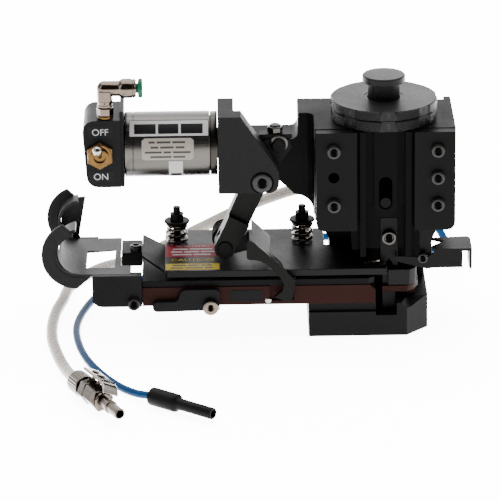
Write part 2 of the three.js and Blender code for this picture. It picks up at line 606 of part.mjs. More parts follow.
// The pawl's finger reaches down in front of the track to push the strip along.
function feedPawl() {
  const hub = bar('y', 5.6, -12.3, -6.2, [PAWL_PIN.x, PAWL_PIN.z], 28);
  const arm = plateXZ(outline([[-84.3, 51.3], [-68, 52], [-68, 44.6], [-84.3, 40.2]]), -12.3, -6.2);
  const faceBlock = plateXZ(outline([
    [-73, 46], [-72, 45.1], [-66, 44.4], [-61.5, 41.6], [-60.4, 41.6], [-60.4, 46],
    [-69.2, 54.6], [-71.5, 56], [-73, 54.3],
  ]), -32, -16.4);
  const wing = plateXZ(outline([
    [-70.2, 45], [-66, 44.4], [-60.4, 41.6], [-60.4, 46], [-70.2, 55.4],
  ]), -16.5, 3);
  const finger = plateXZ(outline([
    [-62.3, 42.2], [-58.8, 38.4], [-55.2, 34.4], [-53.6, 30.4], [-54.6, 27.2], [-58.6, 23.9],
    [-49.7, 20.7], [-47.5, 33], [-60.4, 46.2], [-62.3, 46.2],
  ]), -32, -28.5);
  const shoulder = plateXZ(outline([[-61.5, 41.6], [-58.7, 39.5], [-54.2, 39.5], [-60.5, 46], [-61.5, 46]]),
    -32, -23);
  const bore = bar('y', PAWL_PIN.radius + GAP, -14, -4, [PAWL_PIN.x, PAWL_PIN.z]);
  return cut(join(hub, arm, faceBlock, wing, finger, shoulder), bore);
}
piece(feedGroup, 'feed_pawl', feedPawl(), finish(0x3b3c3a, 0.4, 0.7));

const pawlSpring = piece(feedGroup, 'pawl_spring', coil(5.9, 0.9, 12.8, 4.5), springSteel(),
  [PAWL_PIN.x, -0.6, PAWL_PIN.z]);
pawlSpring.rotation.x = -Math.PI / 2;

// ---------------------------------------------------------------- rod end
function rodEnd() {
  const neck = box(-70, -50.5, CYLINDER.y - 2.5, CYLINDER.y + 2.5, 98.5, 105.5);
  const cap = box(-65.7, -48.4, -11.8, -4.4, 105.2, 107.3);
  const boss = bar('x', 4, -76, -69.2, [CYLINDER.y, CYLINDER.z], 20);
  const pinHole = bar('y', 2.4, -12, -3, [FORK_PIN.x, FORK_PIN.z], 16);
  return cut(join(neck, cap, boss), pinHole);
}
piece(feedGroup, 'rod_end', rodEnd(), blackOxide());

const rodPin = turned('y', [
  [0, -15.5], [3.3, -15.5], [3.7, -15.1], [3.7, -12.5], [2.1, -12.5], [2.1, -1.6], [0, -1.6],
], 20);
piece(feedGroup, 'rod_pin', rodPin, blackOxide(), [FORK_PIN.x, 0, FORK_PIN.z]);

const pistonRod = join(
  bar('x', 3, -112, -76.3, [CYLINDER.y, CYLINDER.z], 20),
  bar('x', 14.6, -112, -104, [CYLINDER.y, CYLINDER.z], 28),
);
piece(feedGroup, 'piston_rod', pistonRod, brightSteel());

// ---------------------------------------------------------------- air cylinder
const tubeLength = CYLINDER.right - CYLINDER.left;
const cylinderTube = turned('x', [
  [0, 0], [16.4, 0], [CYLINDER.radius, 0.6], [CYLINDER.radius, tubeLength],
  [15, tubeLength], [15, 4.8], [0, 4.8],
], 40);
piece(airGroup, 'cylinder_tube', cylinderTube, finish(0xc9c5bc, 0.25, 1),
  [CYLINDER.left, CYLINDER.y, CYLINDER.z]);

const noseCap = turned('x', [
  [3.3, -95], [14.7, -95], [14.7, -91.2], [16.8, -91.2], [16.8, -87.5], [8.1, -87.5], [8.1, -78.3],
  [3.3, -78.3], [3.3, -95],
], 40);
piece(airGroup, 'nose_cap', noseCap, finish(0x9a948c, 0.3, 1), [0, CYLINDER.y, CYLINDER.z]);

// ---------------------------------------------------------------- toggle valve
function valveBody() {
  const { right, front, back, bottom, top } = VALVE;
  const shape = new THREE.Shape();
  shape.moveTo(right, bottom);
  shape.lineTo(-148.8, bottom);
  shape.quadraticCurveTo(-155.4, bottom, -155.8, 90);
  shape.lineTo(-157.3, 112.5);
  shape.quadraticCurveTo(-157.6, top, -150, top);
  shape.lineTo(right, top);
  shape.closePath();
  const block = plateXZ(shape, front, back);
  const mountPlate = box(right - 0.2, CYLINDER.left - GAP, -23, 8, bottom, top + 4.5);
  const bushing = bar('y', 4.6, front - 4, front + 1, [TOGGLE.x, TOGGLE.z], 24);
  const recess = bar('y', 3.4, front - 5, -21.5, [TOGGLE.x, TOGGLE.z], 20);
  const port = bar('z', 3.1, 111, top + 1, [ELBOW.x, ELBOW.y], 20);
  return cut(join(block, mountPlate, bushing), recess, port);
}
piece(airGroup, 'valve_body', valveBody(), blackPlastic());

const toggleNut = cut(
  plateXZ(hexagon(7.6, Math.PI / 6), -26.6, VALVE.front - GAP),
  bar('y', 4.9, -28, -22, [0, 0]),
);
piece(airGroup, 'toggle_nut', toggleNut, brass(), [TOGGLE.x, 0, TOGGLE.z]);

const toggleLever = turned('y', [
  [0, -1.5], [1.1, -1.1], [1.5, 0], [1.25, 1.5], [1.7, 8.5], [1.9, 9.6], [2.6, 11.4], [2.3, 13.2],
  [1.4, 14.2], [0, 14.5],
], 18);
const toggleAt = [TOGGLE.x, TOGGLE.pivotY, TOGGLE.z];
const toggleMesh = piece(airGroup, 'toggle_lever', toggleLever, chrome(), toggleAt);
toggleMesh.rotation.set(Math.PI - 0.54, 0, -0.08);

// ---------------------------------------------------------------- elbow fitting
const elbowBase = join(
  turned('z', [
    [0, 112.4], [2.8, 112.4], [2.8, VALVE.top + GAP], [3.9, VALVE.top + GAP], [3.9, 122],
    [2.4, 122], [2.4, 128.4], [0, 128.4],
  ], 20),
  plateXY(hexagon(4.5), 121.9, 126.1),
);
piece(airGroup, 'elbow_base', elbowBase, brass(), [ELBOW.x, ELBOW.y, 0]);

function elbowBody() {
  const riser = bar('z', 4, 126.4, ELBOW.z, [0, 0], 20);
  const knuckle = solid(new THREE.SphereGeometry(4.15, 20, 12).translate(0, 0, ELBOW.z));
  const branch = turned('x', [
    [0, 0], [4.1, 0], [4.1, 8.6], [5.1, 9.2], [5.1, 15.1], [4.3, 16.3], [0, 16.3],
  ], 20).translate(0, 0, ELBOW.z);
  const swivelBore = bar('z', 2.7, 126, 129, [0, 0], 16);
  const tubeBore = bar('x', 2.8, 9, 17, [0, ELBOW.z], 16);
  return cut(join(riser, knuckle, branch), swivelBore, tubeBore);
}
piece(airGroup, 'elbow_body', elbowBody(), chrome(), [ELBOW.x, ELBOW.y, 0]);

const collet = turned('x', [
  [2.1, 12.5], [2.5, 12.5], [2.5, 17.3], [4.9, 17.3], [5, 19.6], [2.1, 19.6], [2.1, 12.5],
], 20);
piece(airGroup, 'elbow_collet', collet, finish(0x1f5b3a, 0.5, 0), [ELBOW.x, ELBOW.y, ELBOW.z]);

// ---------------------------------------------------------------- scrap chute guard
function chuteGuard() {
  const roof = plateXY(outline([
    [24.3, -4.7], [43.8, -2.5], [45.5, -5], [45.5, -21.5], [44, -22], [25, -22], [24.6, -17], [31.6, -9.7],
  ]), 46 - SHEET, 46);
  const apron = box(25, 40.5, -22, -22 + SHEET, 35.5, 46);
  const cheek = box(45.5 - SHEET, 45.5, -21.5, -5, 34.5, 46);
  const reach = plateXZ(outline([
    [5, 42.2], [5, 39.6], [21.7, 34.9], [25.5, 35.5], [25.5, 44], [22, 41.5],
  ]), -22, -22 + SHEET);
  const strap = plateXZ(outline([
    [18.1, 61.7], [18.1, 41], [20, 38.5], [24.3, 42], [24.3, 50], [27.2, 57], [27.2, 61.7],
  ]), -19.4, -17);
  const bridge = box(18.1, 24, -21, -17.5, 39.5, 41.2);
  return join(roof, apron, cheek, reach, strap, bridge);
}
piece(frame, 'chute_guard', chuteGuard(), finish(0x55565a, 0.5, 0.6));

// ---------------------------------------------------------------- rear ports and hoses
const portBlock = join(
  box(-13, 13, PORT.front, PORT.back, 50, 71),
  bar('y', 4.6, PORT.back - 1, PORT.tip, [AIR_HOSE.portX, AIR_HOSE.portZ], 20),
  bar('y', 3.4, PORT.back - 1, PORT.tip, [SIGNAL_HOSE.portX, SIGNAL_HOSE.portZ], 16),
);
piece(airGroup, 'rear_port_block', portBlock, finish(0x2a2b2d, 0.5, 0.4));

const route = (points) => new THREE.CatmullRomCurve3(points.map((point) => new THREE.Vector3(...point)));

// The supply hose leaves the back, comes down behind the feed and curls round on the bench.
const airRoute = route([
  [-5, 45.3, 64], [-5.6, 52, 63.6], [-10, 60.5, 61.5], [-19, 67, 57.5], [-33, 71, 51.5], [-54, 74, 44.2],
  [-76, 77.5, 34.5], [-98, 81, 22.5], [-116, 83.5, 12.5], [-129, 84, 5.6], [-139.5, 81.7, 3.2],
  [-150.5, 74.5, 3.1], [-158.5, 65, 3.1], [-168.8, 43.6, 3.1], [-172, 23.8, 3.1], [-174.7, 8.8, 3.1],
  [-176.1, -6, 3.1], [-176.4, -20.8, 3.1], [-175.6, -35.3, 3.1], [-173.5, -49.7, 3.1],
  [-170.7, -64, 3.1], [-167.4, -77.5, 3.4], [-164.4, -89, 4.6], [-161.3, -100, 6.3],
]);
piece(airGroup, 'air_hose', swept(airRoute, AIR_HOSE.radius, 10, 68), finish(0xd9cfc2, 0.35, 0));

// The signal hose loops out to the right, runs behind the column and comes round on the bench.
const signalRoute = route([
  [6, 45.3, 57], [6.8, 52, 56.3], [11, 60.5, 52], [19, 67, 43.5], [28, 70.5, 32], [35.5, 71.5, 19.5],
  [40.5, 72.5, 9], [41.5, 77, 3], [38, 86, 2.1], [29, 98, 2.1], [14, 110, 2.1], [-6, 118.5, 2.1],
  [-28, 121, 2.1], [-50, 118.5, 2.1], [-71, 110.5, 2.1], [-90, 98, 2.1], [-105, 83.5, 2.1], [-118, 69, 2.1],
  [-130, 56.5, 2.1], [-142, 45.5, 2.1], [-152.3, 34, 2.1], [-159.5, 13, 2.1], [-163.4, -12.4, 2.1],
  [-162.3, -34.3, 2.1], [-157.4, -58.8, 2.1], [-149.6, -80.1, 2.1], [-139, -99.8, 2.1],
  [-130.6, -111, 2.9], [-123.6, -118.6, 4.6],
]);
piece(airGroup, 'signal_hose', swept(signalRoute, SIGNAL_HOSE.radius, 8, 78), finish(0x1668a8, 0.35, 0));

// ---------------------------------------------------------------- hose ends
// The supply hose ends in a quick coupling: a collar, a hexagon and an open tail tube, with
// a thumb latch on two posts.
const COUPLING = { at: [-161, -101.6, 6.9], heading: -1.113, roll: -0.42, posts: [15.5, 22] };
const coupling = new THREE.Group();
coupling.position.set(...COUPLING.at);
coupling.rotation.set(COUPLING.roll, 0, COUPLING.heading, 'ZYX');
airGroup.add(coupling);

function couplingBody() {
  const core = turned('x', [
    [0, 0.5], [5.6, 0.5], [6, 1], [6, 11.5], [4.7, 11.5], [4.7, 33], [2.8, 33.5], [2.8, 52], [2.1, 52],
    [2.1, 34.5], [0, 34.5],
  ], 24);
  const nut = new THREE.ExtrudeGeometry(hexagon(6.7), { depth: 18, bevelEnabled: false });
  nut.rotateY(Math.PI / 2).translate(13.6, 0, 0).rotateX(Math.PI / 6);
  const posts = COUPLING.posts.map((x) => bar('z', 1.1, 4, 10.6, [x, 0], 12));
  return join(core, solid(nut), ...posts);
}
piece(coupling, 'coupling_body', couplingBody(), brightSteel());

function couplingLatch() {
  const side = outline([
    [9.5, 9.8], [9.5, 8.4], [25, 8.4], [32.5, 6.9], [36, 4.5], [37.3, 5.4], [33.6, 8.2], [25.3, 9.8],
  ]);
  const holes = COUPLING.posts.map((x) => bar('z', 1.4, 7, 11, [x, 0], 12));
  return cut(plateXZ(side, -4.3, 4.3), ...holes);
}
piece(coupling, 'coupling_latch', couplingLatch(), chrome());

// The signal hose ends in a stepped reducer with an open bore.
const reducer = turned('x', [
  [0, 0.5], [4.3, 0.5], [4.7, 0.9], [4.7, 17.2], [4.3, 17.6], [3, 18], [3, 40.4],
  [2, 40.4], [2, 22], [0, 22],
], 24);
const reducerMesh = piece(airGroup, 'reducer', reducer, blackPlastic(), [-122.9, -119.3, 4.9]);
reducerMesh.rotation.z = -0.682;

export default applicator;
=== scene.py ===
"""The applicator's looks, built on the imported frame. Lengths are in metres, +Z up."""
import json
import math

import bmesh
import bpy
from mathutils import Euler, Matrix, Vector

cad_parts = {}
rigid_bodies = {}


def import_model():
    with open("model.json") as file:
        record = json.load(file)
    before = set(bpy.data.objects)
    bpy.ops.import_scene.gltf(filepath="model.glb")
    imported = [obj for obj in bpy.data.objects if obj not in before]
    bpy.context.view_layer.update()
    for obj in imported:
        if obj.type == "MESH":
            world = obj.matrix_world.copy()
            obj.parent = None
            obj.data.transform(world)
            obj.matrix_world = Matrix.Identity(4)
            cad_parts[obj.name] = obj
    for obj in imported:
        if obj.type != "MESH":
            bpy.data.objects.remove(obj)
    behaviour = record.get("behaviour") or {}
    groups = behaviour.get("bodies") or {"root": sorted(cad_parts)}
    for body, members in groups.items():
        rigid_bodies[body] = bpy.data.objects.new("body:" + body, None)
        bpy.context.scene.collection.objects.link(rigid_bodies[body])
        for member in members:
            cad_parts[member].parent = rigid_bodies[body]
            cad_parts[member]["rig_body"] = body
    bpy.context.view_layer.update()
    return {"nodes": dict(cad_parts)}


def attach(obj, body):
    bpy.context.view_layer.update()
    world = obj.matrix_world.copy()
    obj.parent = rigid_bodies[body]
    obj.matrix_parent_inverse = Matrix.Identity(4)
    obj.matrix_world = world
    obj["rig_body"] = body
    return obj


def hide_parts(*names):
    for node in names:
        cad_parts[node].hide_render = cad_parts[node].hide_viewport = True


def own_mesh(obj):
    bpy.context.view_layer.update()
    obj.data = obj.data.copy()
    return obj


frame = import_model()

MM = 0.001
scene = bpy.context.scene


def mm(x, y, z):
    return Vector((x, y, z)) * MM


# ---------------------------------------------------------------- camera
def make_camera():
    azimuth, elevation, roll = math.radians(0.46), math.radians(20.06), math.radians(-0.69)
    target, distance = mm(-71.0, 0, 38.9), 2.123
    look = Vector((math.sin(azimuth) * math.cos(elevation), math.cos(azimuth) * math.cos(elevation),
                   -math.sin(elevation)))
    right = Vector((math.cos(azimuth), -math.sin(azimuth), 0))
    up = right.cross(look)
    right, up = (right * math.cos(roll) + up * math.sin(roll),
                 up * math.cos(roll) - right * math.sin(roll))
    data = bpy.data.cameras.new("camera")
    data.sensor_width, data.lens = 36, 288
    data.clip_start, data.clip_end = 0.05, 30
    camera = bpy.data.objects.new("camera", data)
    scene.collection.objects.link(camera)
    turn = Matrix((right, up, -look)).transposed()
    camera.matrix_world = Matrix.Translation(target - look * distance) @ turn.to_4x4()
    scene.camera = camera


make_camera()


# ---------------------------------------------------------------- materials
class Nodes:
    """A material's node tree, with short calls for adding and linking nodes."""

    def __init__(self, name):
        self.material = bpy.data.materials.new(name)
        self.material.use_nodes = True
        self.tree = self.material.node_tree
        self.shader = self.tree.nodes["Principled BSDF"]

    def add(self, kind, values=None, **settings):
        node = self.tree.nodes.new("ShaderNode" + kind)
        for key, value in settings.items():
            setattr(node, key, value)
        for key, value in (values or {}).items():
            node.inputs[key].default_value = value
        return node

    def link(self, source, target):
        self.tree.links.new(source, target)

    def noise(self, scale, detail=3.0, coordinates=None, roughness=0.55):
        node = self.add("TexNoise", {"Scale": scale, "Detail": detail, "Roughness": roughness})
        if coordinates is None:
            coordinates = self.add("TexCoord").outputs["Object"]
        self.link(coordinates, node.inputs["Vector"])
        return node.outputs["Fac"]

    def span(self, value, low, high, from_low=0.3, from_high=0.7):
        node = self.add("MapRange", {"From Min": from_low, "From Max": from_high,
                                     "To Min": low, "To Max": high})
        self.link(value, node.inputs["Value"])
        return node.outputs["Result"]

    def mix(self, factor, first, second):
        node = self.add("Mix", data_type="RGBA")
        for value, socket in ((factor, node.inputs[0]), (first, node.inputs[6]), (second, node.inputs[7])):
            if isinstance(value, (tuple, float)):
                socket.default_value = value
            else:
                self.link(value, socket)
        return node.outputs[2]

    def bump(self, height, strength, distance=0.0002):
        node = self.add("Bump", {"Strength": strength, "Distance": distance})
        self.link(height, node.inputs["Height"])
        self.link(node.outputs["Normal"], self.shader.inputs["Normal"])


def rgba(color):
    return (*color, 1.0)


def surface(name, color, rough, metal, blotch=0.15, grain=900, bump=0.15, brushed=None,
            dust=0.0, specular=0.5):
    """A hard surface: broad blotches of tone, and fine grain in the bump and gloss."""
    n = Nodes(name)
    n.shader.inputs["Metallic"].default_value = metal
    n.shader.inputs["Specular IOR Level"].default_value = specular
    coordinates = n.add("TexCoord").outputs["Object"]
    if brushed:
        stretch = n.add("Mapping", {"Scale": brushed})
        n.link(coordinates, stretch.inputs["Vector"])
        fine = n.noise(grain, 2.0, stretch.outputs["Vector"])
    else:
        fine = n.noise(grain, 3.0, coordinates)
    broad = n.noise(38, 4.0, coordinates)
    light = tuple(min(1.0, c * (1 + blotch)) for c in color)
    dark = tuple(c * (1 - blotch) for c in color)
    tone = n.mix(n.span(broad, 0, 1), rgba(dark), rgba(light))
    tone = n.mix(n.span(fine, 0, 0.35), tone, rgba(tuple(min(1.0, c * 1.5) for c in color)))
    if dust:
        specks = n.span(n.noise(420, 6.0, coordinates, 0.7), 0, dust, 0.6, 0.75)
        tone = n.mix(specks, tone, rgba((0.35, 0.33, 0.3)))
    n.link(tone, n.shader.inputs["Base Color"])
    gloss = n.add("Math", operation="ADD")
    n.link(n.span(broad, -0.06, 0.06), gloss.inputs[0])
    n.link(n.span(fine, rough - 0.03, rough + 0.05), gloss.inputs[1])
    n.link(gloss.outputs["Value"], n.shader.inputs["Roughness"])
    n.bump(fine, bump)
    return n.material


def knurled(name, base, around, along):
    """A copy of a surface whose bump is a diamond knurl round the Z axis."""
    made = base.copy()
    made.name = name
    tree = made.node_tree
    bump = tree.nodes["Bump"]

    def math_node(operation, first, second=0.0):
        node = tree.nodes.new("ShaderNodeMath")
        node.operation = operation
        for value, socket in ((first, node.inputs[0]), (second, node.inputs[1])):
            if isinstance(value, (int, float)):
                socket.default_value = value
            else:
                tree.links.new(value, socket)
        return node.outputs["Value"]

    split = tree.nodes.new("ShaderNodeSeparateXYZ")
    tree.links.new(tree.nodes.new("ShaderNodeTexCoord").outputs["Object"], split.inputs["Vector"])
    turn = math_node("MULTIPLY", math_node("ARCTAN2", split.outputs["Y"], split.outputs["X"]), around)
    rise = math_node("MULTIPLY", split.outputs["Z"], along)
    one = math_node("SINE", math_node("ADD", turn, rise))
    two = math_node("SINE", math_node("SUBTRACT", turn, rise))
    tree.links.new(math_node("MAXIMUM", one, two), bump.inputs["Height"])
    bump.inputs["Strength"].default_value = 0.8
    bump.inputs["Distance"].default_value = 0.0003
    return made


def hose_material(name, color, transmission, rough, mottle):
    n = Nodes(name)
    n.shader.inputs["Transmission Weight"].default_value = transmission
    n.shader.inputs["IOR"].default_value = 1.42
    n.shader.inputs["Subsurface Weight"].default_value = 0.05
    n.shader.inputs["Subsurface Radius"].default_value = (0.004, 0.003, 0.002)
    n.shader.inputs["Specular IOR Level"].default_value = 0.03
    broad = n.noise(30, 2.0)
    fine = n.noise(700, 3.0)
    dark = tuple(c * (1 - mottle) for c in color)
    n.link(n.mix(n.span(broad, 0, 1), rgba(dark), rgba(color)), n.shader.inputs["Base Color"])
    n.link(n.span(fine, rough - 0.05, rough + 0.08), n.shader.inputs["Roughness"])
    n.bump(fine, 0.08)
    return n.material


def blackened(name, tone, rough, specular, grain=1000, bump=0.2, **options):
    """Painted or oxidised steel or black plastic: dark, with only a faint sheen."""
    return surface(name, tone, rough, 0.0, 0.22, grain, bump, specular=specular, **options)


cast_grey = blackened("cast_grey", (0.0021, 0.0021, 0.0021), 0.55, 0.025, 1300, 0.55)
frame_black = blackened("frame_black", (0.0009, 0.0009, 0.0009), 0.46, 0.015, bump=0.25)
oxide = blackened("black_oxide", (0.0009, 0.0009, 0.0009), 0.40, 0.015)
oxide_ground = blackened("black_oxide_ground", (0.0006, 0.0006, 0.0006), 0.38, 0.008, 700, 0.15,
                         brushed=(1, 1, 0.04))
screw_black = blackened("screw_black", (0.0030, 0.0028, 0.0026), 0.28, 0.08)
dial_black = blackened("dial_black", (0.0019, 0.0019, 0.0021), 0.36, 0.04, 900)
dial_rim = knurled("dial_rim", dial_black, 110, 5200)
olive = blackened("olive_oxide", (0.0013, 0.0013, 0.0011), 0.42, 0.02)
base_steel = blackened("base_steel", (0.0013, 0.0013, 0.0013), 0.42, 0.018, 600, brushed=(0.05, 1, 1))
tool_steel = blackened("tool_steel", (0.0014, 0.0013, 0.0013), 0.34, 0.02)
gloss_black = blackened("gloss_black", (0.0010, 0.0010, 0.0011), 0.38, 0.03, 500, 0.02)
guard_grey = blackened("guard_sheet", (0.0010, 0.0010, 0.0010), 0.34, 0.02)
foam_black = blackened("flange_black", (0.0028, 0.0028, 0.0029), 0.65, 0.03, 1700, 0.9)
plastic = blackened("black_plastic", (0.0014, 0.0014, 0.0016), 0.42, 0.02, 1300, 0.3)
guide_grey = blackened("guide_sheet", (0.0030, 0.0031, 0.0034), 0.42, 0.05, 1500, 0.6, dust=0.12)
brown = blackened("brown_anodised", (0.0058, 0.0020, 0.0016), 0.42, 0.010, 1100, 0.12)
# Painted shade: a dead-black, glossless finish for the hexagons that stand in for the shadowed depth of
# screw sockets.
socket_shade_black = blackened("painted_socket_shade", (0.0006, 0.0006, 0.0006), 0.7, 0.0)
ink = blackened("label_ink", (0.0020, 0.0020, 0.0022), 0.4, 0.02, 900, 0.03)
spring_steel = surface("spring_steel", (0.035, 0.027, 0.020), 0.25, 1.0, 0.25, 900, 0.08)
steel = surface("bright_steel", (0.045, 0.036, 0.028), 0.26, 1.0, 0.12, 900, 0.06)
dark_steel = surface("dark_steel", (0.016, 0.015, 0.014), 0.22, 1.0, 0.12, 900, 0.06)
chrome = surface("chrome", (0.11, 0.10, 0.092), 0.10, 1.0, 0.05, 700, 0.02)
nickel = surface("nickel", (0.038, 0.030, 0.024), 0.14, 1.0, 0.1, 700, 0.05)
tube_steel = surface("tube_steel", (0.026, 0.0245, 0.0225), 0.28, 1.0, 0.05, 1400, 0.05,
                     brushed=(0.03, 1, 1))
cap_steel = surface("cap_steel", (0.010, 0.009, 0.008), 0.3, 1.0, 0.12, 1200, 0.06, brushed=(0.03, 1, 1))
brass = surface("brass", (0.030, 0.0165, 0.0055), 0.24, 1.0, 0.15, 900, 0.06)
green = surface("green_plastic", (0.0015, 0.026, 0.013), 0.4, 0.0, 0.15, 900, 0.1, specular=0.05)
paper = surface("label_white", (0.10, 0.098, 0.095), 0.5, 0.0, 0.04, 900, 0.05, specular=0.05)
silver_label = surface("label_silver", (0.115, 0.112, 0.108), 0.5, 0.0, 0.05, 900, 0.05, specular=0.05)
cream_label = surface("label_cream", (0.070, 0.063, 0.054), 0.5, 0.0, 0.05, 900, 0.05, specular=0.05)
grey_ink = surface("label_grey", (0.012, 0.011, 0.010), 0.5, 0.0, 0.1, 900, 0.03, specular=0.05)
red_label = surface("label_red", (0.060, 0.0035, 0.006), 0.5, 0.0, 0.06, 900, 0.03, specular=0.02)
yellow_label = surface("label_yellow", (0.14, 0.10, 0.003), 0.5, 0.0, 0.06, 900, 0.03, specular=0.02)
white_ink = surface("marking_white", (0.11, 0.11, 0.11), 0.5, 0.0, 0.05, 900, 0.03, specular=0.02)
number_ink = surface("number_grey", (0.012, 0.012, 0.012), 0.5, 0.0, 0.05, 900, 0.03, specular=0.02)
clear_hose = hose_material("clear_hose", (0.15, 0.133, 0.118), 0.2, 0.25, 0.08)
blue_hose = hose_material("blue_hose", (0.0002, 0.0135, 0.044), 0.0, 0.3, 0.08)


# ---------------------------------------------------------------- shapes
SHARP_ANGLE, BEVEL_ANGLE = math.radians(38), math.radians(32)


def settle(obj, body, replaces=()):
    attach(obj, body)
    if replaces:
        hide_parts(*replaces)
    return obj


def finish_mesh(name, bm, materials, body, replaces=(), bevel=0.0, at=None, turn=None):
    """Makes a piece from a bmesh whose numbers are millimetres."""
    bmesh.ops.recalc_face_normals(bm, faces=bm.faces)
    mesh = bpy.data.meshes.new(name)
    bm.to_mesh(mesh)
    bm.free()
    move = Matrix.Scale(MM, 4)
    if turn is not None:
        move = turn.to_matrix().to_4x4() @ move
    if at is not None:
        move = Matrix.Translation(mm(*at)) @ move
    mesh.transform(move)
    for material in materials if isinstance(materials, (list, tuple)) else [materials]:
        mesh.materials.append(material)
    mesh.shade_smooth()
    mesh.set_sharp_from_angle(angle=SHARP_ANGLE)
    obj = bpy.data.objects.new(name, mesh)
    scene.collection.objects.link(obj)
    if bevel:
        edge = obj.modifiers.new("edges", "BEVEL")
        edge.width, edge.segments = bevel * MM, 2
        edge.limit_method, edge.angle_limit = "ANGLE", BEVEL_ANGLE
        flats = obj.modifiers.new("flats", "WEIGHTED_NORMAL")
        flats.mode, flats.weight, flats.keep_sharp = "FACE_AREA", 100, True
    return settle(obj, body, replaces)


def spin(profile, axis="z", segments=72, teeth=None):
    """A turned shape: the profile's points are (radius, distance along the axis)."""
    bm = bmesh.new()
    closed = profile[0] == profile[-1]
    rings = []
    for radius, along in profile[:-1] if closed else profile:
        if radius < 1e-6:
            rings.append([bm.verts.new((0, 0, along))])
            continue
        ring = []
        for i in range(segments):
            angle = math.tau * i / segments
            r = radius
            if teeth and abs(radius - teeth[0]) < 1e-3 and i % 4 < 2:
                r = radius - teeth[1]
            ring.append(bm.verts.new((r * math.cos(angle), r * math.sin(angle), along)))
        rings.append(ring)
    if closed:
        rings.append(rings[0])
    for low, high in zip(rings, rings[1:]):
        for i in range(segments):
            j = (i + 1) % segments
            corners = [low[i % len(low)], low[j % len(low)],
                       high[j % len(high)], high[i % len(high)]]
            unique = list(dict.fromkeys(corners))
            if len(unique) > 2:
                bm.faces.new(unique)
    turns = {"x": Matrix.Rotation(math.pi / 2, 4, "Y"), "y": Matrix.Rotation(-math.pi / 2, 4, "X")}
    if axis in turns:
        bmesh.ops.transform(bm, matrix=turns[axis], verts=bm.verts)
    return bm


def prism(points, low, high, plane="xz"):
    """An outline given depth: in X and Z with depth along Y, or in X and Y with depth along Z."""
    bm = bmesh.new()
    place = {"xz": lambda u, v, d: (u, d, v), "xy": lambda u, v, d: (u, v, d),
             "yz": lambda u, v, d: (d, u, v)}
    ends = [[bm.verts.new(place[plane](u, v, d)) for u, v in points] for d in (low, high)]
    for end in ends:
        bm.faces.new(end)
    for i in range(len(points)):
        j = (i + 1) % len(points)
        bm.faces.new([ends[0][i], ends[0][j], ends[1][j], ends[1][i]])
    return bm


def arc(u, v, radius, start, end, steps=10):
    return [(u + radius * math.cos(math.radians(start + (end - start) * i / steps)),
             v + radius * math.sin(math.radians(start + (end - start) * i / steps)))
            for i in range(steps + 1)]


def rounded(u0, u1, v0, v1, radius, steps=5):
    return (arc(u1 - radius, v0 + radius, radius, -90, 0, steps)
            + arc(u1 - radius, v1 - radius, radius, 0, 90, steps)
            + arc(u0 + radius, v1 - radius, radius, 90, 180, steps)
            + arc(u0 + radius, v0 + radius, radius, 180, 270, steps))


def hexagon(radius, turn=0.0):
    angles = [math.radians(60 * i + turn) for i in range(6)]
    return [(radius * math.cos(angle), radius * math.sin(angle)) for angle in angles]


def merge(*shapes):
    whole = shapes[0]
    for shape in shapes[1:]:
        mesh = bpy.data.meshes.new("part")
        shape.to_mesh(mesh)
        shape.free()
        whole.from_mesh(mesh)
        bpy.data.meshes.remove(mesh)
    return whole


def refine(node, material, bevel):
    """The CAD piece with its flats made whole, its edges broken and its curves smoothed."""
    source = frame["nodes"][node]
    bm = bmesh.new()
    bm.from_mesh(source.data)
    bmesh.ops.remove_doubles(bm, verts=bm.verts, dist=2e-6)
    bmesh.ops.dissolve_limit(bm, angle_limit=math.radians(1.0), verts=bm.verts, edges=bm.edges)
    bmesh.ops.scale(bm, vec=(1 / MM,) * 3, verts=bm.verts)
    return finish_mesh(node + "_finished", bm, material, source["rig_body"], (node,), bevel)


def smooth_path(points, steps=8):
    """The centripetal curve through the points, as closely spaced points in millimetres."""
    points = [Vector(p) for p in points]
    points = [points[0] * 2 - points[1], *points, points[-1] * 2 - points[-2]]
    path = []
    for a, b, c, d in zip(points, points[1:], points[2:], points[3:]):
        before, here, after = ((b - a).length ** 0.5, (c - b).length ** 0.5, (d - c).length ** 0.5)
        start = ((b - a) / before - (c - a) / (before + here) + (c - b) / here) * here
        end = ((c - b) / here - (d - b) / (here + after) + (d - c) / after) * here
        for i in range(steps):
            t = i / steps
            path.append(b * (2 * t ** 3 - 3 * t ** 2 + 1) + start * (t ** 3 - 2 * t ** 2 + t)
                        + c * (3 * t ** 2 - 2 * t ** 3) + end * (t ** 3 - t ** 2))
    path.append(points[-2])
    return path


def rod(name, path, radius, material, resolution=5):
    """A round curve along points in millimetres."""
    data = bpy.data.curves.new(name, "CURVE")
    data.dimensions = "3D"
    data.bevel_depth, data.bevel_resolution = radius * MM, resolution
    data.use_fill_caps = True
    spline = data.splines.new("POLY")
    spline.points.add(len(path) - 1)
    for point, place in zip(spline.points, path):
        point.co = (*(Vector(place) * MM), 1)
    spline.use_smooth = True
    data.materials.append(material)
    obj = bpy.data.objects.new(name, data)
    scene.collection.objects.link(obj)
    return obj


def as_mesh(obj):
    """The same piece with its curve or lettering turned into a mesh."""
    bpy.context.view_layer.update()
    evaluated = obj.evaluated_get(bpy.context.evaluated_depsgraph_get())
    mesh = bpy.data.meshes.new_from_object(evaluated)
    made = bpy.data.objects.new(obj.name + "_mesh", mesh)
    made.matrix_world = obj.matrix_world.copy()
    scene.collection.objects.link(made)
    name = obj.name
    bpy.data.objects.remove(obj)
    made.name = name
    return made


def helix(radius, low, high, turns, steps=28, closed=0.7):
    """A coil about the Z axis whose end turns lie flat."""
    path = []
    total = int(turns * steps)
    for i in range(total + 1):
        t = i / total * turns
        rise = min(max((t - closed) / (turns - 2 * closed), 0), 1)
        height = low + (high - low) * rise
        path.append((radius * math.cos(math.tau * t), radius * math.sin(math.tau * t), height))
    return path


